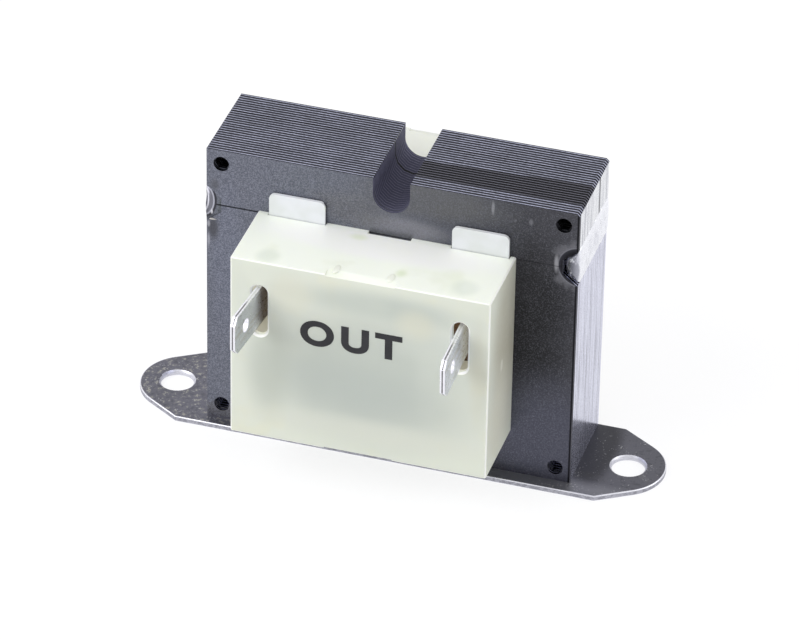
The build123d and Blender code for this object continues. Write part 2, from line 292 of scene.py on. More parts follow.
class Effects:
    """Shader node groups that several finishes share, each built once."""

    facing_limits = (0.72, 0.88)
    wander_scale = 900.0
    wander_reach = 0.00012
    gap_softness = 0.06
    sheet_crown = (0.04, 0.24)
    gather_scale = 0.16
    gather_share = 0.35
    speck_softness = 0.06

    def __init__(self) -> None:
        """Build every group."""
        self.facing = self.make_facing()
        self.patch = self.make_patch()
        self.block = self.make_block()
        self.layers = self.make_layers()
        self.grain = self.make_grain()
        self.specks = self.make_specks()

    def make_facing(self) -> bpy.types.NodeTree:
        """Masks of the faces that look along X, along Y and along Z.

        Returns:
            The group's tree.
        """
        graph, _, leave = new_group("facing", (), (), ("X", "Y", "Z"))
        normal = graph.node("ShaderNodeTexCoord").outputs["Normal"]
        for target, part in zip(leave.values(), graph.split(normal)):
            graph.feed(graph.remap(graph.size(part), *self.facing_limits), target)
        return graph.tree

    @staticmethod
    def make_patch() -> bpy.types.NodeTree:
        """A soft ellipsoid: 1 inside it, 0 outside.

        Returns:
            The group's tree.
        """
        graph, entry, leave = new_group("soft_patch", ("Place", "Centre", "Reach"), ("Softness",), ("Mask",))
        offset = graph.vector("SUBTRACT", entry["Place"], entry["Centre"])
        length = graph.vector("LENGTH", graph.vector("DIVIDE", offset, entry["Reach"]))
        inner = graph.minus(1.0, entry["Softness"])
        outer = graph.plus(1.0, entry["Softness"])
        graph.feed(graph.remap(length, inner, outer, 1.0, 0.0), leave["Mask"])
        return graph.tree

    @staticmethod
    def make_block() -> bpy.types.NodeTree:
        """A soft-edged block: 1 inside it, 0 outside.

        Returns:
            The group's tree.
        """
        graph, entry, leave = new_group("soft_block", ("Place", "Low", "High"), ("Softness",), ("Mask",))
        from_low = graph.vector("SUBTRACT", entry["Place"], entry["Low"])
        from_high = graph.vector("SUBTRACT", entry["High"], entry["Place"])
        parts = graph.split(graph.vector("MINIMUM", from_low, from_high))
        nearest = graph.math("MINIMUM", graph.math("MINIMUM", parts[0], parts[1]), parts[2])
        outer = graph.times(entry["Softness"], -1.0)
        graph.feed(graph.remap(nearest, outer, entry["Softness"]), leave["Mask"])
        return graph.tree

    def make_layers(self) -> bpy.types.NodeTree:
        """The cut edges of a stack of sheets: dark gaps, a tone for each sheet and a rounded profile.

        Returns:
            The group's tree.
        """
        inputs = ("Front", "Pitch", "Gap", "Seed")
        graph, entry, leave = new_group("layer_edges", ("Place",), inputs, ("Gap", "Tone", "Height"))
        wander = graph.noise(entry["Place"], self.wander_scale, 2.0)
        wander = graph.times(graph.minus(wander, 0.5), self.wander_reach)
        depth = graph.plus(graph.split(entry["Place"])[1], wander)
        count = graph.math("DIVIDE", graph.minus(depth, entry["Front"]), entry["Pitch"])
        from_middle = graph.apart(graph.math("FRACT", count), 0.5)
        edge = graph.minus(0.5, graph.times(entry["Gap"], 0.5))
        graph.feed(graph.remap(from_middle, graph.minus(edge, self.gap_softness), edge), leave["Gap"])
        number = graph.plus(graph.math("FLOOR", count), entry["Seed"])
        random = graph.node("ShaderNodeTexWhiteNoise", noise_dimensions="1D")
        graph.feed(number, random.inputs["W"])
        graph.feed(random.outputs["Value"], leave["Tone"])
        graph.feed(graph.remap(from_middle, *self.sheet_crown, 1.0, 0.0), leave["Height"])
        return graph.tree

    @staticmethod
    def make_grain() -> bpy.types.NodeTree:
        """Fine grain and slow cloudy changes over a surface.

        Returns:
            The group's tree.
        """
        graph, entry, leave = new_group("grain", ("Place",), ("Fine Scale", "Cloud Scale"), ("Fine", "Cloud"))
        graph.feed(graph.noise(entry["Place"], entry["Fine Scale"], 3.0, 0.6), leave["Fine"])
        graph.feed(graph.noise(entry["Place"], entry["Cloud Scale"], 2.0, 0.5), leave["Cloud"])
        return graph.tree

    def make_specks(self) -> bpy.types.NodeTree:
        """Small scattered specks of uneven size, gathered in some places.

        Returns:
            The group's tree.
        """
        graph, entry, leave = new_group("specks", ("Place",), ("Scale", "Amount"), ("Mask",))
        fine = graph.noise(entry["Place"], entry["Scale"], 4.0, 0.7)
        gather = graph.noise(entry["Place"], graph.times(entry["Scale"], self.gather_scale), 2.0)
        level = graph.plus(fine, graph.times(gather, self.gather_share))
        start = graph.minus(1.0, entry["Amount"])
        graph.feed(graph.remap(level, start, graph.plus(start, self.speck_softness)), leave["Mask"])
        return graph.tree


@dataclass(frozen=True)
class Tone:
    """A soft patch of another colour on a surface, in millimetres."""

    centre: Point
    reach: Point
    color: Color
    share: float = 1.0
    softness: float = 0.5


class Surface:
    """A material under construction: its graph, shader and place on the object."""

    glow_softness = 0.1

    def __init__(self, name: str, effects: Effects) -> None:
        """Start a material.

        Args:
            name: The material's name.
            effects: The shared groups.
        """
        self.material = bpy.data.materials.new(name)
        self.material.use_nodes = True
        self.graph = Graph(self.material.node_tree)
        self.shader = self.material.node_tree.nodes["Principled BSDF"]
        self.place = self.graph.node("ShaderNodeTexCoord").outputs["Object"]
        self.effects = effects

    def set(self, name: str, value: Value) -> None:
        """Join a value to an input of the shader, or write it there."""
        self.graph.feed(value, self.shader.inputs[name])

    def ramp(self, value: Value, low: float, high: float, start: Value = 0.0, end: Value = 1.0) -> Socket:
        """Map a length smoothly between two lengths in millimetres, as remap does."""
        return self.graph.remap(value, low * MM, high * MM, start, end)

    def patch(self, centre: Sequence[float], reach: Sequence[float], softness: float) -> Socket:
        """Mask of a soft ellipsoid.

        Args:
            centre: Its middle, in millimetres.
            reach: Its half sizes, in millimetres.
            softness: How wide its edge is, as a share of its reach.

        Returns:
            The mask.
        """
        values = {"Centre": metres(centre), "Reach": metres(reach), "Softness": softness}
        return self.graph.group(self.effects.patch, Place=self.place, **values).outputs["Mask"]

    def block(self, low: Sequence[float], high: Sequence[float], softness: float) -> Socket:
        """Mask of a soft-edged block between two corners, in millimetres."""
        values = {"Low": metres(low), "High": metres(high), "Softness": softness * MM}
        return self.graph.group(self.effects.block, Place=self.place, **values).outputs["Mask"]

    def tint(self, color: Socket, tones: Sequence[Tone], uneven: Value = 1.0) -> Socket:
        """Lay soft patches of other colours over a colour.

        Args:
            color: The colour below.
            tones: The patches, in order.
            uneven: A mask that breaks the patches up.

        Returns:
            The tinted colour.
        """
        for tone in tones:
            mask = self.patch(tone.centre, tone.reach, tone.softness)
            color = self.graph.lay(color, tone.color, mask, tone.share, uneven)
        return color

    def grain(self, fine: float, cloud: float) -> tuple[Socket, Socket]:
        """Fine grain and slow clouds at two scales."""
        group = self.graph.group(self.effects.grain, Place=self.place, Fine_Scale=fine, Cloud_Scale=cloud)
        return group.outputs["Fine"], group.outputs["Cloud"]

    def facing(self) -> tuple[Socket, Socket, Socket]:
        """Masks of the faces that look along X, Y and Z."""
        return tuple(self.graph.group(self.effects.facing).outputs)

    def specks(self, scale: float, amount: float) -> Socket:
        """Mask of small scattered specks."""
        group = self.graph.group(self.effects.specks, Place=self.place, Scale=scale, Amount=amount)
        return group.outputs["Mask"]

    def glow(self, boxes: Sequence[Box], color: Color) -> None:
        """Paint a glow inside some boxes, as emission that stands in for the light the moulding passes.

        Args:
            boxes: Each box's lowest and highest corner, in millimetres.
            color: The glow's colour.
        """
        mask = self.graph.largest(*(self.block(low, high, self.glow_softness) for low, high in boxes))
        self.set("Emission Color", self.graph.mix(mask, (0, 0, 0, 1), color))
        self.set("Emission Strength", 1.0)

    def bump(
        self, height: Socket, distance: float, strength: float, normal: Union[Socket, None] = None
    ) -> None:
        """Raise the surface by a height.

        Args:
            height: The height, from 0 to 1.
            distance: How far 1 rises, in millimetres.
            strength: How strongly it shows.
            normal: The normal below, where it isn't the mesh's own.
        """
        values = {"Strength": strength, "Distance": distance * MM, "Height": height}
        if normal is not None:
            values["Normal"] = normal
        self.set("Normal", self.graph.node("ShaderNodeBump", values).outputs[0])


@dataclass(frozen=True)
class StackSizes:
    """Where the lamination stack lies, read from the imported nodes, in millimetres."""

    front: float
    back: float
    pitch: float
    half_width: float
    top: float
    joint: float

    @classmethod
    def from_frame(cls) -> "StackSizes":
        """Measure the stack.

        Returns:
            The stack's sizes.
        """
        layers = 26
        low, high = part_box("e_lamination_01")
        back_low, back_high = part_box("e_lamination_26")
        bar_low, bar_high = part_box("i_laminations")
        return cls(
            front=low[1] / MM,
            back=back_high[1] / MM,
            pitch=(back_low[1] - low[1]) / (layers - 1) / MM,
            half_width=high[0] / MM,
            top=bar_high[2] / MM,
            joint=(high[2] + bar_low[2]) / 2 / MM,
        )


class Finish(ABC):
    """A finish, which paints one material."""

    name: str

    def make(self, effects: Effects) -> bpy.types.Material:
        """Build the material.

        Args:
            effects: The shared groups.

        Returns:
            The material.
        """
        surface = Surface(self.name, effects)
        self.paint(surface)
        return surface.material

    @abstractmethod
    def paint(self, surface: Surface) -> None:
        """Give the shader's inputs their colours, masks and relief."""


@dataclass(frozen=True)
class LaminationFinish(Finish):
    """Silicon steel: blue-grey oxide on the faces, darkening to the right partly as painted shade and
    reflection, and bright cut edges with dark gaps between them, the end faces lighter as a painted
    reflection.
    """

    name: str
    stack: StackSizes
    bars: bool = False
    face_left_lit: Color = shown(107, 110, 122)
    face_right_shaded: Color = shown(68, 68, 74)
    cut_top: Color = shown(201, 204, 230)
    cut_side_lit: Color = shown(231, 233, 254)
    gap: Color = shown(10, 10, 15)
    joint_line: Color = shown(24, 24, 28)
    gap_share: float = 0.7
    dark_band_gap_share: float = 0.82
    layer_seed: float = 7.0
    end_faces_from: float = 20.0
    face_depth: float = 9.0
    crater_radius: float = 3.25
    crater_out: float = 0.35
    crater_up: float = 0.4
    halo_wide: float = 1.5
    halo_high: float = 1.3
    rim_width: float = 0.16
    edge_shade_width: float = 0.34
    dark_band_after: float = 4.3
    dark_band_until: float = 11.4
    dark_band_spread: float = 0.95
    dark_band_depth: float = 0.42
    spread_after: int = 18
    notch_depth: float = 5.45
    notch_radius: float = 2.85
    notch_half: float = 3.2
    hole_inset: float = 2.3
    hole_reach: float = 1.5
    grain_scale: float = 5200.0
    cloud_scale: float = 90.0

    def paint(self, surface: Surface) -> None:
        """Oxide on the faces, metal on the cut edges, and dull gaps.

        Args:
            surface: The material under construction.
        """
        graph = surface.graph
        side_mask, face_mask, _ = surface.facing()
        outward = graph.size(graph.split(surface.place)[0])
        ends = surface.ramp(outward, self.end_faces_from, self.end_faces_from + 1)
        side_mask = graph.times(side_mask, ends)
        fine, _ = surface.grain(self.grain_scale, self.cloud_scale)
        face = self.face_color(surface)
        edges, height, matte = self.edge_color(surface, side_mask)
        surface.set("Base Color", graph.mix(face_mask, edges, face))
        metal = graph.line(face_mask, -0.2, 1.0)
        surface.set("Metallic", graph.line(matte, -0.8, metal, clamp=True))
        rough = graph.line(face_mask, 0.1, graph.remap(fine, 0.3, 0.7, 0.32, 0.42))
        rough = graph.line(side_mask, -0.24, rough)
        surface.set("Roughness", graph.line(matte, 0.6, rough, clamp=True))
        on_top = graph.line(side_mask, -0.93, 1.0)
        rounded = graph.times(height, graph.minus(1.0, face_mask), on_top)
        relief = graph.plus(rounded, graph.times(fine, 0.05))
        surface.bump(relief, 0.05, 0.5, self.notch_normal(surface, face_mask))

    def notch_normal(self, surface: Surface, face_mask: Socket) -> Socket:
        """The normal of the strap notch's round floor, which the inner layers cut as a run of flats.

        Args:
            surface: The material under construction.
            face_mask: Mask of the faces that look along Y.

        Returns:
            The normal.
        """
        graph = surface.graph
        half = self.notch_half
        middle = self.stack.top - self.notch_depth + self.notch_radius
        flats = surface.block((-half, -20, middle - half), (half, 20, middle), 0.02)
        flats = graph.times(flats, graph.minus(1.0, face_mask))
        axis = graph.vector("MULTIPLY", surface.place, (0, 1, 0))
        axis = graph.vector("ADD", axis, (0, 0, middle * MM))
        inward = graph.vector("NORMALIZE", graph.vector("SUBTRACT", axis, surface.place))
        own = graph.node("ShaderNodeTexCoord").outputs["Normal"]
        return graph.mix(flats, own, inward)

    def spot(
        self, place: tuple[float, float], half: tuple[float, float], color: Color, share: float,
        softness: float = 0.5,
    ) -> Tone:
        """A patch on the front face, given by X and Z, that reaches a little into the stack."""
        centre = (place[0], self.stack.front, place[1])
        return Tone(centre, (half[0], self.face_depth, half[1]), color, share, softness)

    def tones(self) -> list[Tone]:
        """Patches of the front face: smudges at the top, painted shade beside the cover, a painted reflection
        lower right, dust at the foot.

        Returns:
            The patches, in order.
        """
        return [
            self.spot((6.0, 46.5), (10.0, 3.2), shown(100, 100, 103), 0.8),
            self.spot((1.5, 40.6), (6.5, 1.8), shown(146, 146, 154), 0.65),
            self.spot((-6.5, 42.5), (6.0, 2.6), shown(108, 108, 112), 0.6),
            # painted shade: the dark area beside the cover
            self.spot((21.5, 28.0), (6.5, 13.5), shown(40, 40, 43), 1.0),
            # painted reflection: the lighter bluish area lower right
            self.spot((24.5, 7.5), (8.5, 10.5), shown(78, 79, 92), 0.95),
            self.spot((-24.5, 2.0), (5.5, 1.5), shown(122, 121, 124), 0.7, 0.4),
            self.spot((-25.5, 30.0), (2.5, 12.0), shown(112, 116, 132), 0.6),
            self.spot((15.5, 47.1), (0.22, 1.1), shown(160, 160, 168), 0.7),
            self.spot((21.3, 45.8), (0.3, 0.5), shown(130, 130, 138), 0.5),
            self.spot((18.9, 45.6), (0.25, 0.3), shown(105, 105, 112), 0.5),
        ]

    def smear(self) -> list[Tone]:
        """The soot and spatter below the left bead, whose front end fills its groove.

        Returns:
            The patches, in order.
        """
        edge = -self.stack.half_width
        return [
            self.spot((edge + 1.0, 34.8), (0.8, 1.9), shown(74, 74, 80), 0.8, 0.6),
            self.spot((edge + 0.75, 36.3), (0.65, 0.13), shown(204, 200, 196), 0.85),
            self.spot((edge + 0.3, 35.4), (0.22, 0.5), shown(170, 170, 178), 0.7, 0.6),
            self.spot((edge + 0.3, 32.6), (0.2, 1.1), shown(164, 165, 176), 0.7, 0.6),
            self.spot((edge + 1.3, 42.5), (0.6, 0.9), shown(90, 90, 96), 0.6, 0.6),
        ]

    def hole_light_and_shade(self) -> list[Tone]:
        """The painted shade inside the two upper holes.

        Returns:
            A patch for each hole.
        """
        across = self.stack.half_width - self.hole_inset
        height = self.stack.top - self.hole_inset
        reach = (self.hole_reach, FAR, self.hole_reach)
        # painted shade: near-black inside each upper hole
        dark = shown(12, 12, 15)
        return [Tone((side.value * across, 0.0, height), reach, dark, 0.85, 0.05) for side in Side]

    def face_color(self, surface: Surface) -> Socket:
        """Oxide that darkens to the right, partly as painted shade and reflection, with fine grain, smudges,
        weld craters painted as shade, a dark joint line and a strip of painted shade along the right edge.

        Args:
            surface: The material under construction.

        Returns:
            The colour.
        """
        graph = surface.graph
        x, _, z = graph.split(surface.place)
        fine, cloud = surface.grain(self.grain_scale, self.cloud_scale)
        across = graph.plus(x, graph.times(graph.minus(cloud, 0.5), 0.012))
        # painted shade and reflection: the oxide goes darker from left to right, partly its own tone
        color = graph.mix(surface.ramp(across, -8, 22), self.face_left_lit, self.face_right_shaded)
        color = surface.tint(color, self.tones(), graph.remap(cloud, 0.25, 0.5, 0.65, 1.0))
        rougher = surface.ramp(across, -16, 8, 1.15, 0.45)
        light = graph.remap(fine, 0.45, 0.7, 0.0, 0.32)
        color = graph.lay(color, shown(168, 170, 184), light, rougher)
        dark = graph.remap(fine, 0.52, 0.32, 0.0, 0.32)
        color = graph.lay(color, shown(34, 34, 40), dark, rougher)
        color = graph.lay(color, shown(140, 142, 156), surface.specks(2600.0, 0.16), 0.3)
        color = self.weld_marks(surface, color)
        color = surface.tint(color, self.smear())
        line = surface.ramp(graph.apart(z, self.stack.joint * MM), 0.07, 0.18, 0.9, 0.0)
        color = graph.lay(color, self.joint_line, line, surface.ramp(x, -12, 18, 1.0, 0.25))
        # painted shade: a near-black strip along the front face's right edge
        edge_shade_from = self.stack.half_width - self.edge_shade_width
        return graph.lay(color, shown(14, 14, 20), surface.ramp(x, edge_shade_from, edge_shade_from + 0.1, 0.0, 0.95))

    def weld_marks(self, surface: Surface, color: Socket) -> Socket:
        """Paint the right weld's crater into a face as painted shade, dark as its sunken walls would be in
        shadow, with its pale heat rings.

        Args:
            surface: The material under construction.
            color: The colour below.

        Returns:
            The marked colour.
        """
        graph = surface.graph
        stack = self.stack
        radius = self.crater_radius
        centre = (stack.half_width + self.crater_out, stack.front, stack.joint + self.crater_up)
        halo = surface.patch(centre, (radius + self.halo_wide, THROUGH, radius + self.halo_high), 0.12)
        _, cloud = surface.grain(2000.0, 420.0)
        color = graph.lay(color, shown(150, 150, 158), halo, graph.remap(cloud, 0.4, 0.62, 0.0, 0.3))
        lit = (centre[0] - radius - 0.35, centre[1], centre[2] + 0.1)
        color = graph.lay(color, shown(175, 175, 182), surface.patch(lit, (0.3, THROUGH, 1.3), 0.6), 0.6)
        # painted shade: the crater is dark, darkest in its middle, on the flat face
        whole, crater, deep = (
            surface.patch(centre, (reach, THROUGH, reach), softness)
            for reach, softness in ((radius + self.rim_width, 0.03), (radius, 0.03), (radius - 0.3, 0.14))
        )
        color = graph.lay(color, shown(150, 150, 160), graph.minus(whole, crater, clamp=True), 0.35)
        return graph.mix(crater, color, graph.mix(deep, shown(52, 52, 60), shown(24, 24, 30)))

    def sheets(self, surface: Surface, gap: float) -> bpy.types.bpy_prop_collection:
        """The layer edges' gap, tone and height, for a gap's share of the pitch.

        Args:
            surface: The material under construction.
            gap: The share.

        Returns:
            The group's outputs.
        """
        values = {"Front": self.stack.front * MM, "Pitch": self.stack.pitch * MM, "Gap": gap}
        layers = surface.effects.layers
        return surface.graph.group(layers, Place=surface.place, Seed=self.layer_seed, **values).outputs

    def edge_color(self, surface: Surface, side_mask: Socket) -> tuple[Socket, Socket, Socket]:
        """Bright cut edges, the end faces lighter as painted reflection, dark gaps between the sheets,
        painted shade in the notch, the upper holes and the front sheet's end, and on the bars a dark band.

        Args:
            surface: The material under construction.
            side_mask: Mask of the core's end faces.

        Returns:
            The colour, the sheets' rounded profile, and the mask of the dull gaps at the ends.
        """
        graph = surface.graph
        stack = self.stack
        layers = self.sheets(surface, self.gap_share)
        fine, cloud = surface.grain(3200.0, 260.0)
        tone = graph.line(layers["Tone"], 0.22, 0.76)
        tone = graph.times(tone, graph.remap(fine, 0.3, 0.7, 0.7, 1.15))
        tone = graph.times(tone, graph.remap(cloud, 0.3, 0.7, 0.9, 1.08))
        side_tone = graph.line(graph.minus(tone, 0.86), 0.3, 0.99)
        cut = graph.mix(1.0, self.cut_top, graph.grey(tone), "MULTIPLY")
        # painted reflection: the end faces are coloured lighter than the top edges and near white higher up
        side = graph.mix(1.0, self.cut_side_lit, graph.grey(side_tone), "MULTIPLY")
        place = (stack.half_width, stack.front, 46.0)
        side_highlight = Tone(place, (4.0, THROUGH, 5.6), shown(250, 252, 255), 0.9, 0.2)
        color = graph.mix(side_mask, cut, surface.tint(side, [side_highlight]))
        drag = graph.noise(graph.stretch(surface.place, (400.0, 3400.0, 70.0)), 1.0, 2.0, 0.5)
        color = graph.lay(color, shown(128, 129, 152), graph.remap(drag, 0.5, 0.62, 0.0, 0.6), side_mask)
        uneven = graph.line(graph.minus(drag, 0.5), side_mask, 1.0)
        gap = graph.times(layers["Gap"], graph.line(side_mask, -0.72, 0.95), uneven)
        color = graph.mix(gap, color, self.gap)
        # painted shade: the strap notch's inside is darkened
        notch_shade = surface.block((-3.0, -20, stack.top - 6.0), (3.0, 20, stack.top - 0.25), 0.15)
        color = graph.lay(color, shown(80, 79, 102), notch_shade, 0.8)
        color = surface.tint(color, self.hole_light_and_shade())
        # painted shade: the front sheet's end face is darkened
        first = surface.block((-40, -20, -5), (40, stack.front + 0.75, 60), 0.06)
        first = graph.times(first, side_mask, 0.9)
        color = graph.mix(first, color, shown(26, 26, 36))
        matte = graph.largest(first, graph.times(gap, side_mask), graph.times(notch_shade, 0.6))
        if self.bars:
            color, spread = self.mark_bars(surface, color)
            matte = graph.largest(matte, graph.times(spread, side_mask))
        return color, layers["Height"], matte

    def mark_bars(self, surface: Surface, color: Socket) -> tuple[Socket, Socket]:
        """Darken some of the bars in a band along the top and open one gap wider.

        Args:
            surface: The material under construction.
            color: The colour below.

        Returns:
            The marked colour, and the wider gap's mask.
        """
        graph = surface.graph
        stack = self.stack
        x, y, _ = graph.split(surface.place)
        first = stack.front + self.dark_band_after * stack.pitch
        last = stack.front + self.dark_band_until * stack.pitch
        widening = surface.ramp(x, 4, 26, last * MM, (last + self.dark_band_spread) * MM)
        behind = surface.ramp(graph.minus(widening, y), -0.1, 0.1)
        right = surface.ramp(x, 1.8, 2.4)
        before = surface.ramp(y, first - 0.1, first + 0.1)
        top = surface.block((-40, -20, stack.top - self.dark_band_depth), (40, 20, stack.top + 1), 0.08)
        wide_gap = self.sheets(surface, self.dark_band_gap_share)["Gap"]
        dark_band = graph.mix(wide_gap, shown(144, 144, 162), shown(4, 4, 10))
        color = graph.lay(color, dark_band, behind, right, before, top)
        spread = (stack.front + self.spread_after * stack.pitch - 0.01) * MM
        spread_mask = surface.ramp(graph.apart(y, spread), 0.18, 0.28, 1.0, 0.0)
        return graph.mix(spread_mask, color, shown(14, 14, 18)), spread_mask


@dataclass(frozen=True)
class PlateFinish(Finish):
    """Dark mill finish with small bright specks, dust and a sheared edge."""

    name: str = "plate_steel"
    flat: Color = shown(92, 92, 100)
    pale: Color = shown(107, 107, 118)
    speck: Color = shown(200, 200, 202)
    sheared: Color = shown(178, 178, 188)
    lip_highlight: Color = shown(214, 214, 222)
    hole_x: float = 35.825
    hole_y: float = 1.06
    hole_reach: float = 3.2

    def paint(self, surface: Surface) -> None:
        """Mottle that pales to the left, a painted shadow beside the core, dust, specks and bright sheared
        sides with painted highlights and shade at the holes.

        Args:
            surface: The material under construction.
        """
        graph = surface.graph
        _, _, top = surface.facing()
        fine, cloud = surface.grain(1500.0, 150.0)
        to_left = surface.ramp(graph.split(surface.place)[0], 10, -35)
        mottle = graph.times(graph.remap(cloud, 0.35, 0.7), graph.line(to_left, 0.4, 0.2))
        pale = graph.plus(mottle, graph.times(to_left, 0.6), clamp=True)
        color = graph.mix(pale, self.flat, self.pale)
        color = graph.mix(graph.remap(fine, 0.5, 0.3, 0.0, 0.4), color, shown(44, 44, 50))
        blotch = graph.noise(surface.place, 1500.0, 3.0, 0.65)
        blotch = graph.remap(blotch, 0.54, 0.66, 0.0, 0.75)
        color = graph.lay(color, shown(168, 166, 158), blotch, to_left)
        # painted shadow: dark patch on the plate beside the core's right end
        foot = Tone((30.2, 2.2, 0.9), (3.2, 9.5, 4.0), shown(46, 46, 52), 0.85, 0.35)
        dust = Tone((18.0, -8.2, 0.9), (19.0, 2.4, 4.0), shown(146, 146, 152), 0.65)
        color = surface.tint(color, [foot, dust])
        specks = graph.times(surface.specks(3000.0, 0.19), graph.remap(cloud, 0.3, 0.6, 0.4, 0.85))
        color = graph.mix(specks, color, self.speck)
        side = graph.mix(graph.remap(fine, 0.4, 0.6, 0.6, 0.0), self.sheared, shown(120, 120, 130))
        side = surface.tint(side, self.hole_light_and_shade())
        surface.set("Base Color", graph.mix(top, side, color))
        surface.set("Metallic", 0.7)
        surface.set("Roughness", graph.remap(fine, 0.2, 0.8, 0.32, 0.48))
        surface.bump(graph.plus(fine, specks), 0.04, 0.5)

    def hole_light_and_shade(self) -> list[Tone]:
        """Painted highlights on the holes' walls, each with a spot of painted shade at the back.

        Returns:
            The patches, in order.
        """
        tones = []
        for side in Side:
            x = side.value * self.hole_x
            # painted highlight on the hole's wall
            tones.append(Tone((x, self.hole_y, 0.5), (self.hole_reach, self.hole_reach, 5.0), self.lip_highlight))
            # painted shade at the back of the hole
            tones.append(Tone((x, self.hole_y + 2.6, 0.7), (0.95, 0.8, 0.3), shown(104, 104, 110), 0.85))
        return tones


@dataclass(frozen=True)
class BareMetalFinish(Finish):
    """Bare bright metal at sheared corners."""

    name: str = "bare_edge"
    base: Color = shown(232, 232, 240)
    tarnish: Color = shown(170, 170, 180)

    def paint(self, surface: Surface) -> None:
        """Bright metal with a little tarnish.

        Args:
            surface: The material under construction.
        """
        graph = surface.graph
        fine, cloud = surface.grain(2400.0, 300.0)
        surface.set("Base Color", graph.mix(graph.remap(cloud, 0.4, 0.75, 0.0, 0.4), self.base, self.tarnish))
        surface.set("Metallic", 0.9)
        surface.set("Roughness", graph.remap(fine, 0.3, 0.7, 0.22, 0.38))
        surface.bump(fine, 0.03, 0.4)


@dataclass(frozen=True)
class WeldFinish(Finish):
    """Smooth bright weld metal along the joint, with grey lumps at the bead's ends."""

    name: str
    stack: StackSizes
    base: Color = shown(240, 241, 247)
    cloudy: Color = shown(214, 215, 224)
    lump: Color = shown(98, 99, 109)
    lump_streak: Color = shown(220, 221, 230)
    joint_line: Color = shown(24, 24, 28)
    lump_length: float = 1.1

    def paint(self, surface: Surface) -> None:
        """Bright metal, a streaked lump at the right front end and a filled groove at the left one.

        Args:
            surface: The material under construction.
        """
        graph = surface.graph
        half_width = self.stack.half_width
        x, y, _ = graph.split(surface.place)
        fine, cloud = surface.grain(1800.0, 260.0)
        color = graph.mix(graph.remap(cloud, 0.45, 0.75), self.base, self.cloudy)
        streak = graph.noise(graph.stretch(surface.place, (900.0, 1600.0, 420.0)), 1.0, 3.0, 0.6)
        lump = graph.mix(graph.remap(streak, 0.4, 0.56), self.lump, self.lump_streak)
        inner = surface.ramp(graph.size(x), half_width - 1.2, half_width)
        lump = graph.lay(lump, shown(186, 187, 197), inner, 0.6)
        lump = graph.mix(surface.ramp(x, -1, 1, 1.0, 0.0), lump, self.filled_end(surface))
        from_end = graph.minus(y, self.stack.front * MM)
        at_end = surface.ramp(from_end, self.lump_length - 0.5, self.lump_length, 1.0, 0.0)
        surface.set("Base Color", graph.mix(at_end, color, lump))
        surface.set("Metallic", 0.75)
        surface.set("Roughness", graph.remap(fine, 0.3, 0.7, 0.24, 0.36))
        surface.bump(graph.plus(cloud, graph.times(fine, 0.04)), 0.03, 0.4)

    def filled_end(self, surface: Surface) -> Socket:
        """The left bead's front end, level with the face: a lump painted as two bright curved bands of
        painted highlight in a thin rim of painted shade.

        Args:
            surface: The material under construction.

        Returns:
            The colour.
        """
        graph = surface.graph
        edge, front, joint = -self.stack.half_width, self.stack.front, self.stack.joint
        fine, _ = surface.grain(5200.0, 300.0)
        z = graph.split(surface.place)[2]
        color = graph.mix(graph.remap(fine, 0.4, 0.65, 0.0, 0.3), shown(100, 103, 115), shown(150, 152, 164))
        line = surface.ramp(graph.apart(z, joint * MM), 0.07, 0.18, 0.9, 0.0)
        color = graph.mix(line, color, self.joint_line)
        outer, inner = (edge - 0.6, front, joint + 0.55), (edge - 1.0, front, joint + 0.85)
        # painted highlight and shade: the lump's light and dark bands on a flat end
        runs = (
            (outer, 2.2, 3.15, shown(56, 56, 64)),
            (outer, 1.84, 2.79, shown(182, 183, 196)),
            (outer, 1.64, 2.59, shown(116, 116, 126)),
            (inner, 1.4, 2.94, shown(226, 226, 236)),
            (inner, 1.2, 2.52, shown(118, 118, 129)),
        )
        for centre, wide, high, tone in runs:
            color = graph.mix(surface.patch(centre, (wide, THROUGH, high), 0.05), color, tone)
        # painted highlight: a small glint
        glint = Tone((edge + 0.8, front, joint - 1.4), (0.15, THROUGH, 0.4), shown(232, 232, 240), 0.8)
        return surface.tint(color, [glint])


@dataclass(frozen=True)
class BladeFinish(Finish):
    """Tin-plated brass: grey sides with warm streaks, and ends with bright rims round a dark core."""

    name: str = "tinned_brass"
    attribute: str = "blade_depth"
    side: Color = shown(225, 229, 241)
    left_side: Color = shown(211, 214, 219)
    warm: Color = shown(176, 166, 150)
    rim: Color = shown(244, 244, 250)
    core: Color = shown(58, 54, 60)
    core_half: float = 0.11
    core_softness: float = 0.05
    middle_y: float = 1.06
    tip_from: float = 24.2
    tip_to: float = 26.2

    def paint(self, surface: Surface) -> None:
        """Streaked sides, the left ones darker, and cut ends whose core shows towards the tip.

        Args:
            surface: The material under construction.
        """
        graph = surface.graph
        x_mask, _, _ = surface.facing()
        x, y, _ = graph.split(surface.place)
        fine, cloud = surface.grain(2400.0, 420.0)
        drag = graph.noise(graph.stretch(surface.place, (700.0, 160.0, 1500.0)), 1.0, 2.0, 0.5)
        side = graph.mix(surface.ramp(x, 1, -1), self.side, self.left_side)
        side = graph.mix(graph.remap(drag, 0.5, 0.68, 0.0, 0.35), side, self.warm)
        side = graph.mix(graph.remap(cloud, 0.5, 0.7, 0.0, 0.35), side, shown(166, 168, 170))
        depth = graph.node("ShaderNodeAttribute", attribute_name=self.attribute).outputs["Fac"]
        away = graph.size(graph.plus(depth, graph.line(fine, 0.1, -0.05)))
        half, softness = self.core_half, self.core_softness
        core = graph.remap(away, half - softness, half + softness, 0.85, 0.0)
        outward = graph.apart(y, self.middle_y * MM)
        core = graph.times(core, surface.ramp(outward, self.tip_from, self.tip_to, 0.2, 1.0))
        surface.set("Base Color", graph.mix(x_mask, graph.mix(core, self.rim, self.core), side))
        surface.set("Metallic", 0.85)
        surface.set("Roughness", graph.remap(fine, 0.3, 0.7, 0.26, 0.4))
        surface.bump(fine, 0.02, 0.4)


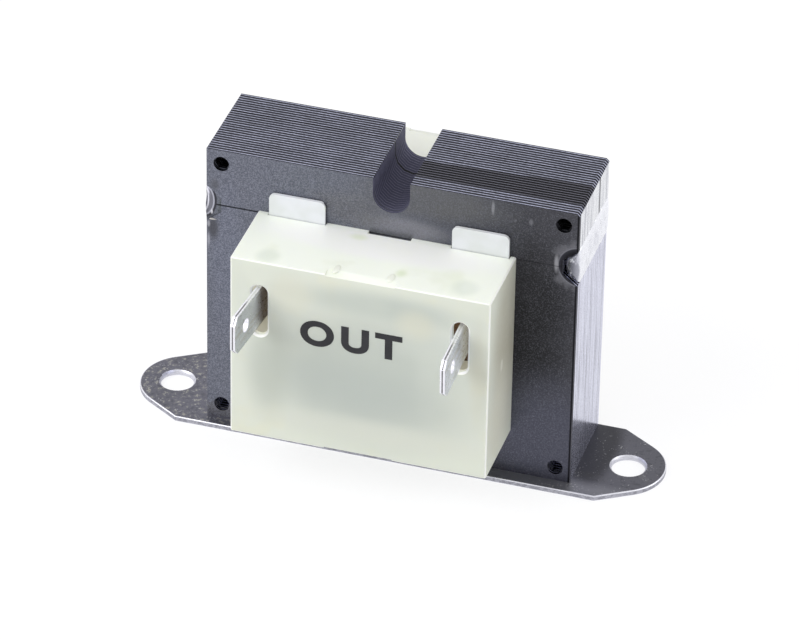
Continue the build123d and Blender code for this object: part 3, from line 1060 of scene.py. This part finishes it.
@dataclass(frozen=True)
class CoverFinish(Finish):
    """Milky natural nylon: paler along its edges, cloudy over the coil, its lid lighter as painted light and
    its side walls darker as painted shade, with painted highlights on its rounded edges and a painted glow
    inside.
    """

    name: str
    outer: Box
    open_side: float
    wall: float = 0.9
    pale: Color = shown(225, 229, 218)
    # painted light: the lid's colour is lighter than the walls'
    lid: Color = shown(249, 255, 243)
    inner_glow: Color = shown(168, 166, 150)

    def paint(self, surface: Surface) -> None:
        """Walls, side walls and lid with their own clouds, the lid lighter as painted light and the side
        walls darker as painted shade, painted highlights on the rounded edges and a painted glow inside.

        Args:
            surface: The material under construction.
        """
        graph = surface.graph
        x_mask, y_mask, z_mask = surface.facing()
        fine, cloud = surface.grain(1400.0, 75.0)
        _, patches = surface.grain(1500.0, 170.0)
        uneven = graph.remap(cloud, 0.3, 0.55, 0.75, 1.0)
        wall = graph.mix(graph.remap(patches, 0.52, 0.72, 0.0, 0.3), self.pale, shown(232, 230, 204))
        wall = surface.tint(wall, self.wall_tones(), uneven)
        # painted light: the lid is coloured lighter than the walls
        lid = graph.mix(graph.remap(patches, 0.52, 0.72, 0.0, 0.4), self.lid, shown(230, 236, 216))
        lid = surface.tint(lid, self.lid_tones(), uneven)
        # painted shade: the side walls are coloured darker
        shaded_flank = surface.tint(wall, self.flank_tones(), uneven)
        color = graph.mix(z_mask, graph.mix(x_mask, wall, shaded_flank), lid)
        # painted highlight: rounded edges, which face no axis, are near white
        level = graph.largest(x_mask, y_mask, z_mask)
        surface.set("Base Color", graph.mix(level, shown(252, 253, 249), color))
        surface.set("Roughness", graph.remap(fine, 0.3, 0.7, 0.36, 0.46))
        surface.set("Subsurface Weight", 0.3)
        surface.set("Subsurface Radius", (0.002, 0.002, 0.0016))
        surface.set("Subsurface Scale", 0.6)
        # painted light: the cover's inside glows
        surface.glow([self.inside()], self.inner_glow)
        surface.bump(fine, 0.02, 0.35)

    def inside(self) -> Box:
        """The hollow's box, a little larger than it is, so that its faces lie in it.

        Returns:
            Its lowest and highest corner, in millimetres.
        """
        reach = self.wall - 0.2
        low, high = (list(corner) for corner in self.outer)
        for axis in (0, 2):
            low[axis] += reach
            high[axis] -= reach
        if self.open_side > 0:
            low[1] += reach
        else:
            high[1] -= reach
        return tuple(low), tuple(high)

    def wall_tones(self) -> list[Tone]:
        """Greyer patches over the coil and creamier ones near the walls.

        Returns:
            The patches, in order.
        """
        return [
            Tone((1.0, 0, 22.5), (17.0, FAR, 11.5), shown(198, 204, 196), 1.0, 0.45),
            Tone((2.5, 0, 35.3), (12.0, FAR, 2.2), shown(198, 205, 197), 1.0, 0.6),
            Tone((-1.0, 0, 20.0), (11.0, FAR, 4.5), shown(190, 197, 191), 0.8, 0.6),
            Tone((-14.5, 0, 21.0), (3.0, FAR, 8.0), shown(190, 196, 186), 0.7, 0.6),
            Tone((8.0, 0, 33.2), (2.8, FAR, 2.4), shown(222, 222, 204), 0.7, 0.6),
            Tone((-11.0, 0, 35.0), (3.0, FAR, 3.0), shown(226, 226, 208), 0.6, 0.6),
            Tone((17.6, 0, 26.5), (1.2, FAR, 8.0), shown(214, 214, 198), 0.7, 0.6),
            Tone((2.0, 0, 12.6), (17.0, FAR, 2.2), shown(222, 225, 214), 0.7, 0.6),
        ]

    def lid_tones(self) -> list[Tone]:
        """A whiter strip near the core as painted highlight, round pin marks and faint green specks of the
        moulding.

        Returns:
            The patches, in order.
        """
        top = self.outer[1][2]
        return [
            Tone((0.0, 14.0, top), (30.0, 8.5, 9.0), shown(240, 242, 234), 1.0, 0.1),
            # painted highlight: the whiter strip near the core
            Tone((0.0, -10.8, top), (17.0, 3.4, 9.0), shown(252, 253, 251), 0.9, 0.35),
            Tone((-15.3, -18.3, top), (1.7, 1.7, 9.0), shown(222, 229, 219), 0.6),
            Tone((14.5, -17.3, top), (1.9, 1.9, 9.0), shown(222, 229, 220), 0.6),
            Tone((-4.2, -9.2, top), (1.2, 0.7, 9.0), shown(222, 232, 200), 0.6, 0.8),
            Tone((4.5, -16.6, top), (0.7, 0.8, 9.0), shown(216, 228, 196), 0.6, 0.8),
        ]

    def flank_tones(self) -> list[Tone]:
        """The side walls, darker towards the core as painted shade, with one small bright gate mark.

        Returns:
            The patches, in order.
        """
        edge = self.outer[1][0]
        return [
            Tone((edge, -11.0, 28.0), (9.0, 6.5, 12.5), shown(192, 190, 174)),
            Tone((edge, -13.5, 16.0), (9.0, 6.0, 7.0), shown(216, 216, 202), 0.8, 0.6),
            Tone((edge, -13.3, 24.2), (9.0, 0.55, 0.95), shown(232, 232, 222), 0.8, 0.4),
        ]


@dataclass(frozen=True)
class PlainFinish(Finish):
    """A quiet finish with fine grain: bobbin nylon with a painted glow, near-white moulded edges as painted
    highlight, enamelled wire or ink.
    """

    name: str
    base: Color
    other: Color
    roughness: float
    metallic: float = 0.0
    subsurface: float = 0.0
    tones: tuple[Tone, ...] = ()
    lit_boxes: tuple[Box, ...] = ()
    lit_color: Color = shown(70, 64, 48)

    def paint(self, surface: Surface) -> None:
        """Two close tones in soft clouds, with a painted glow in the lit boxes.

        Args:
            surface: The material under construction.
        """
        graph = surface.graph
        fine, cloud = surface.grain(1800.0, 200.0)
        color = graph.mix(graph.remap(cloud, 0.35, 0.7), self.base, self.other)
        surface.set("Base Color", surface.tint(color, self.tones))
        low, high = self.roughness - 0.05, self.roughness + 0.05
        surface.set("Roughness", graph.remap(fine, 0.3, 0.7, low, high))
        surface.set("Metallic", self.metallic)
        surface.set("Subsurface Weight", self.subsurface)
        surface.set("Subsurface Radius", (0.0015, 0.0015, 0.0015))
        # painted light: the bobbin glows inside the covers
        if self.lit_boxes:
            surface.glow(self.lit_boxes, self.lit_color)
        surface.bump(fine, 0.02, 0.3)


class Finishes:
    """Every material of the object."""

    def __init__(self, stack: StackSizes) -> None:
        """Build the materials.

        Args:
            stack: The lamination stack's sizes.
        """
        effects = Effects()
        self.lamination = LaminationFinish("lamination_steel", stack).make(effects)
        self.bar = LaminationFinish("bar_lamination_steel", stack, bars=True).make(effects)
        self.plate = PlateFinish().make(effects)
        self.bare_edge = BareMetalFinish().make(effects)
        self.weld = WeldFinish("weld_metal", stack).make(effects)
        self.tin = BladeFinish().make(effects)
        covers = [self.cover_finish("front_cover", 1.0), self.cover_finish("rear_cover", -1.0)]
        self.front_cover, self.rear_cover = (cover.make(effects) for cover in covers)
        # painted highlight: the rounded edges' material is near white
        edge, cloud = shown(246, 248, 240), shown(232, 236, 222)
        self.cover_edge_highlight = PlainFinish("cover_edge_highlight_nylon", edge, cloud, 0.38, subsurface=0.2).make(effects)
        bobbin = PlainFinish(
            "bobbin_nylon",
            shown(236, 238, 244),
            shown(226, 229, 230),
            0.4,
            subsurface=0.2,
            tones=(Tone((-9.5, -7.5, 42.3), (0.5, 3.0, 0.9), shown(214, 224, 190), 0.6, 0.6),),
            # painted light: the bobbin glows where the covers hide it
            lit_boxes=tuple(cover.inside() for cover in covers),
        )
        self.bobbin = bobbin.make(effects)
        copper, enamel = shown(122, 94, 74), shown(84, 62, 48)
        self.wire = PlainFinish("enamelled_wire", copper, enamel, 0.32, 0.5).make(effects)
        self.ink = PlainFinish("marking_ink", shown(22, 22, 28), shown(32, 32, 38), 0.55).make(effects)

    @staticmethod
    def cover_finish(node: str, open_side: float) -> CoverFinish:
        """The finish of one cover.

        Args:
            node: The cover's node.
            open_side: 1 where the cover is open towards +Y, -1 where it is towards -Y.

        Returns:
            The finish.
        """
        outer = tuple(tuple(c / MM for c in corner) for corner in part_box(node))
        return CoverFinish(f"{node}_nylon", outer, open_side)


def place_object(name: str, data: bpy.types.ID) -> bpy.types.Object:
    """Put data in the scene as a new object.

    Args:
        name: The object's name.
        data: Its mesh, text, camera or lamp.

    Returns:
        The object.
    """
    made = bpy.data.objects.new(name, data)
    bpy.context.scene.collection.objects.link(made)
    return made


def add_piece(name: str, mesh: bpy.types.Mesh, slot: str, *materials: bpy.types.Material) -> bpy.types.Object:
    """Put a mesh in the scene as a piece of the object.

    Args:
        name: The piece's name.
        mesh: Its mesh, in place.
        slot: The record's material slot; not used.
        materials: Its materials, in order, where the mesh has none yet.

    Returns:
        The new object.
    """
    piece = place_object(name, mesh)
    if not mesh.materials:
        for material in materials:
            mesh.materials.append(material)
    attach(piece, "root")
    LOG.info("%s: %d faces", name, len(mesh.polygons))
    return piece


def plain_mesh(holder: bpy.types.Object, name: str) -> bpy.types.Mesh:
    """Turn an object with modifiers into a plain mesh and remove the object.

    Args:
        holder: The object.
        name: The new mesh's name.

    Returns:
        The mesh.
    """
    graph = bpy.context.evaluated_depsgraph_get()
    mesh = bpy.data.meshes.new_from_object(holder.evaluated_get(graph), depsgraph=graph)
    mesh.name = name
    bpy.data.objects.remove(holder)
    return mesh


def skin_rings(work: bmesh.types.BMesh, rings: Sequence[Sequence[bmesh.types.BMVert]]) -> None:
    """Join each closed ring of points to the next.

    Args:
        work: The mesh under construction.
        rings: The rings, all of as many points.
    """
    for first, second in zip(rings, rings[1:]):
        for j in range(len(first)):
            k = (j + 1) % len(first)
            work.faces.new((first[j], first[k], second[k], second[j]))


def smooth_mesh(work: bmesh.types.BMesh, name: str) -> bpy.types.Mesh:
    """Point the faces outwards, smooth them and keep them as a mesh.

    Args:
        work: The mesh under construction, which is freed.
        name: The new mesh's name.

    Returns:
        The mesh.
    """
    bmesh.ops.recalc_face_normals(work, faces=work.faces)
    for face in work.faces:
        face.smooth = True
    mesh = bpy.data.meshes.new(name)
    work.to_mesh(mesh)
    work.free()
    return mesh


@dataclass(frozen=True)
class Softening:
    """Rounds the sharp edges of a copy of a CAD node, with widths in millimetres and angles in degrees."""

    width: float
    segments: int = 3
    edge_material: int = 0
    sharp: float = 32.0
    wide_face: float = 20.0
    flat_angle: float = 1.0
    shading_angle: float = 5.0
    merge_reach: float = 0.001

    def copy(self, node: str, frame: dict, *materials: bpy.types.Material) -> bpy.types.Mesh:
        """Copy a node's mesh, merge its loose triangles and round its edges.

        Args:
            node: The node's name.
            frame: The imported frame.
            materials: The copy's materials, of which the rounding takes its own.

        Returns:
            The new mesh.
        """
        work = bmesh.new()
        work.from_mesh(frame["nodes"][node].data)
        bmesh.ops.remove_doubles(work, verts=work.verts, dist=self.merge_reach * MM)
        flat = math.radians(self.flat_angle)
        bmesh.ops.dissolve_limit(work, angle_limit=flat, verts=work.verts, edges=work.edges)
        for edge in work.edges:
            wide = any(face.calc_area() > self.wide_face * MM * MM for face in edge.link_faces)
            if wide and edge.calc_face_angle(0) > math.radians(self.shading_angle):
                edge.smooth = False
        mesh = bpy.data.meshes.new(f"{node}_sharp")
        work.to_mesh(mesh)
        work.free()
        holder = place_object(f"{node}_softening", mesh)
        bevel = holder.modifiers.new("Rounding", "BEVEL")
        bevel.width = self.width * MM
        bevel.segments = self.segments
        bevel.limit_method = "ANGLE"
        bevel.angle_limit = math.radians(self.sharp)
        bevel.harden_normals = True
        bevel.material = self.edge_material
        for material in materials:
            mesh.materials.append(material)
        for face in mesh.polygons:
            face.use_smooth = True
        return plain_mesh(holder, f"{node}_soft")


@dataclass(frozen=True)
class Bead:
    """One weld bead: how deep it sits, how far it stands out, and how far its ends stop from the stack's."""

    side: Side
    node: str
    floor: float
    crown: float
    front_inset: float
    back_inset: float


@dataclass(frozen=True)
class Core:
    """The lamination stack, which keeps its solids, and its two weld beads, in millimetres."""

    stack: StackSizes
    beads: tuple[Bead, ...] = (
        Bead(Side.LEFT, "weld_bead_left", floor=2.9, crown=0.06, front_inset=0.01, back_inset=0.35),
        Bead(Side.RIGHT, "weld_bead_right", floor=2.2, crown=0.18, front_inset=0.35, back_inset=0.1),
    )
    half_height: float = 3.05
    below_joint: float = 0.1
    steps_along: int = 90
    steps_across: int = 26
    dome_steps: int = 9
    dome_least: float = 0.35
    dome_sink: float = 0.9
    ripple: float = 0.05
    ripple_pace: float = 5.2
    rough_height: float = 0.28
    rough_crown: float = 0.1
    rough_pace: Point = (3.1, 0.9, 2.0)

    def dress(self, frame: dict, finishes: Finishes) -> None:
        """Give the laminations their finish and lay the beads.

        Args:
            frame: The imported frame.
            finishes: The materials.
        """
        for name, node in frame["nodes"].items():
            if name.startswith("e_lamination"):
                self.assign(node, finishes.lamination)
        self.assign(frame["nodes"]["i_laminations"], finishes.bar)
        for bead in self.beads:
            piece = add_piece(f"{bead.node}_metal", self.bead_mesh(bead), "weld_metal", finishes.weld)
            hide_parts(bead.node)

    @staticmethod
    def assign(node: bpy.types.Object, material: bpy.types.Material) -> None:
        """Put one material on a CAD node."""
        node.data.materials.clear()
        node.data.materials.append(material)

    def bead_mesh(self, bead: Bead) -> bpy.types.Mesh:
        """A bead along the joint: uneven edges, faint ripples and a domed end.

        Args:
            bead: The bead.

        Returns:
            The bead's mesh.
        """
        work = bmesh.new()
        start = self.stack.front + bead.front_inset
        length = self.stack.back - bead.back_inset - start
        rings = []
        for i in range(self.steps_along + 1):
            along = i / self.steps_along
            y = start + along * length
            points = [self.bead_point(bead, y, along, j) for j in range(self.steps_across)]
            rings.append([work.verts.new(point) for point in points])
        skin_rings(work, rings)
        for ring in (rings[0], rings[-1]):
            hub = work.verts.new(sum((v.co for v in ring), Vector()) / len(ring))
            for first, second in zip(ring, ring[1:] + ring[:1]):
                work.faces.new((first, second, hub))
        return smooth_mesh(work, f"bead_{bead.side.name.lower()}")

    def bead_point(self, bead: Bead, y: float, along: float, number: int) -> Vector:
        """One point of the bead's skin.

        Args:
            bead: The bead.
            y: The section's place along the stack, in millimetres.
            along: The same as a share of the bead's length.
            number: The point's number round the section.

        Returns:
            The point, in metres.
        """
        turn = 2 * math.pi * number / self.steps_across
        up, out = math.sin(turn), math.cos(turn)
        to_end = (1 - along if bead.side is Side.LEFT else along) * self.steps_along / self.dome_steps
        dome = math.sqrt(max(0.0, 1 - (1 - min(1.0, to_end)) ** 2))
        dome = self.dome_least + (1 - self.dome_least) * dome
        pace = self.rough_pace
        rough = noise.noise(Vector((bead.side.value * pace[0], y * pace[1], pace[2] * up)))
        ripple = self.ripple * math.sin(y * self.ripple_pace + rough * 3)
        height = (self.half_height + self.rough_height * rough) * dome
        if out > 0:
            depth = (bead.crown + ripple + self.rough_crown * rough) * out
        else:
            depth = bead.floor * out * dome
        x = self.stack.half_width - (1 - dome) * self.dome_sink + depth
        return Vector((bead.side.value * x, y, self.stack.joint - self.below_joint + height * up)) * MM


@dataclass(frozen=True)
class Shells:
    """The rounded copies of the plate, the covers and the bobbin, with radii in millimetres."""

    plate_round: float = 0.16
    plate_sharp: float = 50.0
    cover_round: float = 0.14
    cover_sharp: float = 25.0
    bobbin_round: float = 0.1

    def dress(self, frame: dict, finishes: Finishes) -> None:
        """Build each rounded copy and let it stand for its node.

        Args:
            frame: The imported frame.
            finishes: The materials.
        """
        steel = (finishes.plate, finishes.bare_edge)
        softening = Softening(self.plate_round, edge_material=1, sharp=self.plate_sharp)
        self.stand_for("foot_plate", softening.copy("foot_plate", frame, *steel), "plate_steel")
        softening = Softening(self.cover_round, segments=2, edge_material=1, sharp=self.cover_sharp)
        for node, finish in (("front_cover", finishes.front_cover), ("rear_cover", finishes.rear_cover)):
            self.stand_for(node, softening.copy(node, frame, finish, finishes.cover_edge_highlight), "cover_nylon")
        bobbin = Softening(self.bobbin_round, segments=2).copy("bobbin", frame, finishes.bobbin)
        self.stand_for("bobbin", bobbin, "bobbin_nylon")

    @staticmethod
    def stand_for(node: str, mesh: bpy.types.Mesh, slot: str) -> None:
        """Put a rounded copy, which has its materials, in its node's place."""
        piece = add_piece(f"{node}_shell", mesh, slot)
        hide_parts(node)


@dataclass(frozen=True)
class Blades:
    """The push-on blades, each with its depth across the sheet kept on its points, in millimetres."""

    rounding: float = 0.06
    attribute: str = "blade_depth"
    tip_length: float = 0.5
    hole_from_tip: float = 4.0
    hole_reach: float = 1.5
    hole_depth: float = 9.0

    def dress(self, frame: dict, finishes: Finishes) -> None:
        """Build each blade's rounded copy.

        Args:
            frame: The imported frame.
            finishes: The materials.
        """
        softening = Softening(self.rounding, segments=2, edge_material=1)
        for node in sorted(frame["nodes"]):
            if "terminal" in node:
                mesh = softening.copy(node, frame, finishes.tin, finishes.bare_edge)
                self.keep_depth(mesh)
                Shells.stand_for(node, mesh, "tinned_brass")

    def keep_depth(self, mesh: bpy.types.Mesh) -> None:
        """Write how far each point lies from the middle of the sheet, and more than that in the hole.

        Args:
            mesh: The blade's mesh.
        """
        points = [v.co for v in mesh.vertices]
        middle = sum(points, Vector()) / len(points)
        along = sum((p.y - middle.y) ** 2 for p in points)
        slope = sum((p.x - middle.x) * (p.y - middle.y) for p in points) / along
        hole = self.hole_place(points, middle)
        depths = mesh.attributes.new(self.attribute, "FLOAT", "POINT")
        for point, item in zip(points, depths.data):
            depth = (point.x - middle.x - slope * (point.y - middle.y)) / MM
            in_hole = math.hypot(point.y - hole[0], point.z - hole[1]) < self.hole_reach * MM
            item.value = self.hole_depth if in_hole else depth

    def hole_place(self, points: Sequence[Vector], middle: Vector) -> tuple[float, float]:
        """Find the blade's hole from its tip, which points away from the core.

        Args:
            points: The blade's points.
            middle: Their middle.

        Returns:
            The hole's Y and Z, in metres.
        """
        outward = math.copysign(1, middle.y)
        tip = max(outward * p.y for p in points)
        heights = [p.z for p in points if outward * p.y > tip - self.tip_length * MM]
        return outward * (tip - self.hole_from_tip * MM), (min(heights) + max(heights)) / 2


@dataclass(frozen=True)
class MouldMarks:
    """The small raised nubs on the front cover's lid, left by the mould, in millimetres."""

    places: tuple[tuple[float, float], ...] = ((-4.71, -18.4), (3.55, -18.1))
    half_width: float = 0.55
    half_length: float = 1.1
    height: float = 0.22
    sink: float = 0.05
    fullness: float = 0.7
    rings: int = 6
    points: int = 20

    def dress(self, finishes: Finishes) -> None:
        """Raise the nubs.

        Args:
            finishes: The materials.
        """
        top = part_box("front_cover")[1][2]
        work = bmesh.new()
        for place in self.places:
            self.raise_nub(work, place, top)
        mesh = smooth_mesh(work, "front_cover_nubs")
        # painted highlight: the nubs take the edges' near-white material
        add_piece("front_cover_nubs", mesh, "cover_nylon", finishes.cover_edge_highlight)

    def raise_nub(self, work: bmesh.types.BMesh, place: tuple[float, float], top: float) -> None:
        """Add one nub, closed below inside the lid.

        Args:
            work: The mesh under construction.
            place: The nub's middle.
            top: The lid's height, in metres.
        """
        rings = []
        for i in range(self.rings):
            turn = math.pi / 2 * i / self.rings
            spread = math.cos(turn) ** self.fullness
            height = top + (self.height * math.sin(turn) - self.sink) * MM
            ring = []
            for j in range(self.points):
                angle = 2 * math.pi * j / self.points
                x = place[0] + self.half_width * spread * math.cos(angle)
                y = place[1] + self.half_length * spread * math.sin(angle)
                ring.append(work.verts.new((x * MM, y * MM, height)))
            rings.append(ring)
        skin_rings(work, rings)
        work.faces.new(rings[0])
        work.faces.new(rings[-1])


@dataclass(frozen=True)
class WireTurns:
    """The outer layer of wire turns on each winding, made with Geometry Nodes, in millimetres."""

    nodes: tuple[str, ...] = ("primary_winding", "secondary_winding")
    wire_radius: float = 0.24
    pitch_share: float = 2.08
    corner_radius: float = 4.0
    corner_steps: int = 6
    wire_sides: int = 8
    sink: float = 0.12

    def dress(self, frame: dict, finishes: Finishes) -> None:
        """Wind both windings' outer turns from one tree.

        Args:
            frame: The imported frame.
            finishes: The materials.
        """
        tree = self.make_tree()
        for node in self.nodes:
            self.wind(tree, node, finishes.wire)
            Core.assign(frame["nodes"][node], finishes.wire)

    def make_tree(self) -> bpy.types.NodeTree:
        """A tree that stacks rounded rectangular turns of round wire.

        Returns:
            The tree.
        """
        tree = bpy.data.node_groups.new("wire_turns", "GeometryNodeTree")
        tree.interface.new_socket("Geometry", in_out="INPUT", socket_type="NodeSocketGeometry")
        for label in ("Width", "Depth", "Corner", "Wire Radius", "Pitch"):
            tree.interface.new_socket(label, in_out="INPUT", socket_type="NodeSocketFloat")
        tree.interface.new_socket("Turns", in_out="INPUT", socket_type="NodeSocketInt")
        tree.interface.new_socket("Start", in_out="INPUT", socket_type="NodeSocketVector")
        tree.interface.new_socket("Material", in_out="INPUT", socket_type="NodeSocketMaterial")
        tree.interface.new_socket("Geometry", in_out="OUTPUT", socket_type="NodeSocketGeometry")
        graph = Graph(tree)
        entry = graph.node("NodeGroupInput").outputs
        values = {"Width": entry["Width"], "Height": entry["Depth"]}
        path = graph.node("GeometryNodeCurvePrimitiveQuadrilateral", values)
        values = {"Curve": path.outputs[0], "Count": self.corner_steps, "Radius": entry["Corner"]}
        rounded = graph.node("GeometryNodeFilletCurve", values, mode="POLY")
        values = {"Resolution": self.wire_sides, "Radius": entry["Wire Radius"]}
        section = graph.node("GeometryNodeCurvePrimitiveCircle", values)
        values = {"Curve": rounded.outputs[0], "Profile Curve": section.outputs[0]}
        turn = graph.node("GeometryNodeCurveToMesh", values)
        step = graph.node("ShaderNodeCombineXYZ", {2: entry["Pitch"]})
        values = {"Count": entry["Turns"], "Start Location": entry["Start"], "Offset": step.outputs[0]}
        line = graph.node("GeometryNodeMeshLine", values, mode="OFFSET")
        values = {"Points": line.outputs[0], "Instance": turn.outputs[0]}
        many = graph.node("GeometryNodeInstanceOnPoints", values)
        real = graph.node("GeometryNodeRealizeInstances", {0: many.outputs[0]})
        values = {"Geometry": real.outputs[0], "Material": entry["Material"]}
        finish = graph.node("GeometryNodeSetMaterial", values)
        graph.node("NodeGroupOutput", {"Geometry": finish.outputs[0]})
        return tree

    def wind(self, tree: bpy.types.NodeTree, node: str, material: bpy.types.Material) -> None:
        """Wind the outer turns round one winding.

        Args:
            tree: The tree of turns.
            node: The winding's node.
            material: The wire's finish.
        """
        low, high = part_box(node)
        pitch = self.pitch_share * self.wire_radius * MM
        turns = int((high[2] - low[2]) / pitch)
        rise = ((high[2] - low[2]) - (turns - 1) * pitch) / 2
        values = {
            "Width": high[0] - low[0] - 2 * self.sink * MM,
            "Depth": high[1] - low[1] - 2 * self.sink * MM,
            "Corner": self.corner_radius * MM,
            "Wire Radius": self.wire_radius * MM,
            "Pitch": pitch,
            "Turns": turns,
            "Start": ((low[0] + high[0]) / 2, (low[1] + high[1]) / 2, low[2] + rise),
            "Material": material,
        }
        holder = place_object(f"{node}_path", bpy.data.meshes.new(f"{node}_path"))
        modifier = holder.modifiers.new("Turns", "NODES")
        modifier.node_group = tree
        for item in tree.interface.items_tree:
            if item.in_out == "INPUT" and item.name in values:
                modifier[item.identifier] = values[item.name]
        mesh = plain_mesh(holder, f"{node}_turns")
        for face in mesh.polygons:
            face.use_smooth = True
        add_piece(f"{node}_turns", mesh, "enamelled_wire", material)


@dataclass(frozen=True)
class Marking:
    """The printed word on the front cover, a generic one, in millimetres."""

    word: str = "OUT"
    height: float = 4.1
    cap_share: float = 0.72
    middle: tuple[float, float] = (-1.9, 28.35)
    proud: float = 0.012
    weight: float = 0.24
    spacing: float = 1.3
    widening: float = 1.12

    def dress(self, finishes: Finishes) -> None:
        """Print the word.

        Args:
            finishes: The materials.
        """
        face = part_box("front_cover")[0][1]
        letters = bpy.data.curves.new("front_marking", "FONT")
        letters.body = self.word
        letters.align_x = "CENTER"
        letters.align_y = "CENTER"
        letters.size = self.height / self.cap_share * MM
        letters.space_character = self.spacing
        letters.offset = self.weight * MM
        letters.extrude = self.proud * MM
        mesh = plain_mesh(place_object("front_marking_text", letters), "front_marking")
        place = Matrix.Translation((self.middle[0] * MM, face, self.middle[1] * MM))
        upright = Matrix.Rotation(math.pi / 2, 4, "X")
        mesh.transform(place @ upright @ Matrix.Scale(self.widening, 4, (1, 0, 0)))
        add_piece("front_marking", mesh, "cover_nylon", finishes.ink)


@dataclass(frozen=True)
class Camera:
    """The photo's camera, fitted to the object's corners, in degrees and millimetres."""

    azimuth: float = 16.571
    elevation: float = 33.879
    roll: float = 1.1
    distance: float = 847.9
    target: Point = (-0.423, 0.0, 19.54)
    focal_pixels: float = 5653.1
    frame_width: float = 800.0
    sensor: float = 36.0
    nearest: float = 50.0
    furthest: float = 20000.0

    def place(self) -> None:
        """Create the camera and make it the scene's."""
        turn, lift, tilt = (math.radians(a) for a in (self.azimuth, self.elevation, self.roll))
        forward = Vector((-math.sin(turn) * math.cos(lift), math.cos(turn) * math.cos(lift), -math.sin(lift)))
        right = Vector((math.cos(turn), math.sin(turn), 0))
        up = right.cross(forward)
        side = math.cos(tilt) * right + math.sin(tilt) * up
        head = -math.sin(tilt) * right + math.cos(tilt) * up
        data = bpy.data.cameras.new("camera")
        data.sensor_width = self.sensor
        data.lens = self.focal_pixels / self.frame_width * self.sensor
        data.clip_start = self.nearest * MM
        data.clip_end = self.furthest * MM
        camera = place_object("camera", data)
        turned = Matrix((side, head, -forward)).transposed().to_4x4()
        place = (Vector(self.target) - forward * self.distance) * MM
        camera.matrix_world = Matrix.Translation(place) @ turned
        bpy.context.scene.camera = camera


@dataclass(frozen=True)
class Softbox:
    """A soft square lamp aimed at the object, in degrees, metres and watts."""

    name: str
    azimuth: float
    elevation: float
    power: float
    distance: float = 0.6
    size: float = 0.5
    aim: Point = (0.0, 0.0, 0.02)

    def place(self) -> None:
        """Put the lamp in the scene."""
        turn, lift = math.radians(self.azimuth), math.radians(self.elevation)
        back = Vector((math.sin(turn) * math.cos(lift), -math.cos(turn) * math.cos(lift), math.sin(lift)))
        data = bpy.data.lights.new(self.name, "AREA")
        data.size = self.size
        data.energy = self.power
        lamp = place_object(self.name, data)
        lamp.location = Vector(self.aim) + back * self.distance
        lamp.rotation_euler = back.to_track_quat("Z", "Y").to_euler()


@dataclass(frozen=True)
class Studio:
    """A white floor, an even pale world and soft lamps."""

    lamps: tuple[Softbox, ...] = (Softbox("lamp_left", -50, 35, 2.0), Softbox("lamp_right", 95, 30, 1.1))
    world_strength: float = 0.62
    floor_half: float = 4.0
    card: Color = (0.8, 0.8, 0.8, 1)
    shade: Color = (0.25, 0.25, 0.26, 1)
    floor_glow: float = 0.8

    def build(self) -> None:
        """Build the floor, the world and the lamps."""
        bpy.context.scene.view_settings.view_transform = "Standard"
        self.make_world()
        self.make_floor()
        for lamp in self.lamps:
            lamp.place()

    @staticmethod
    def seen_by_eye(graph: Graph) -> Socket:
        """Mask of the rays that show the background: straight, mirrored or through glass."""
        rays = graph.node("ShaderNodeLightPath").outputs
        return graph.largest(rays["Is Camera Ray"], rays["Is Glossy Ray"], rays["Is Transmission Ray"])

    def make_world(self) -> None:
        """Light the scene evenly, and show white behind it."""
        world = bpy.data.worlds.new("studio")
        world.use_nodes = True
        graph = Graph(world.node_tree)
        light = world.node_tree.nodes["Background"]
        light.inputs["Color"].default_value = (1, 1, 1, 1)
        strength = graph.line(self.seen_by_eye(graph), 1 - self.world_strength, self.world_strength)
        graph.feed(strength, light.inputs["Strength"])
        bpy.context.scene.world = world

    def make_floor(self) -> None:
        """Lay a white floor that keeps a pale shadow."""
        half = self.floor_half
        mesh = bpy.data.meshes.new("floor")
        points = [(-half, -half, 0), (half, -half, 0), (half, half, 0), (-half, half, 0)]
        mesh.from_pydata(points, [], [(0, 1, 2, 3)])
        mesh.materials.append(self.floor_material())
        floor = place_object("floor", mesh)

    def floor_material(self) -> bpy.types.Material:
        """White card: plain for the light it throws back, near white where it is seen.

        Returns:
            The material.
        """
        material = bpy.data.materials.new("white_card")
        material.use_nodes = True
        nodes = material.node_tree.nodes
        nodes.remove(nodes["Principled BSDF"])
        graph = Graph(material.node_tree)
        card = graph.node("ShaderNodeBsdfDiffuse", {"Color": self.card})
        shade = graph.node("ShaderNodeBsdfDiffuse", {"Color": self.shade})
        glow = graph.node("ShaderNodeEmission", {"Strength": self.floor_glow})
        bright = graph.node("ShaderNodeAddShader", {0: shade.outputs[0], 1: glow.outputs[0]})
        values = {0: self.seen_by_eye(graph), 1: card.outputs[0], 2: bright.outputs[0]}
        choice = graph.node("ShaderNodeMixShader", values)
        graph.feed(choice.outputs[0], nodes["Material Output"].inputs["Surface"])
        return material


def main() -> None:
    """Build the whole scene."""
    logging.basicConfig(level=logging.INFO, format="%(name)s: %(message)s")
    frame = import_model()
    stack = StackSizes.from_frame()
    finishes = Finishes(stack)
    Core(stack).dress(frame, finishes)
    Shells().dress(frame, finishes)
    Blades().dress(frame, finishes)
    MouldMarks().dress(finishes)
    WireTurns().dress(frame, finishes)
    Marking().dress(finishes)
    Studio().build()
    Camera().place()


if __name__ == "__main__":
    main()
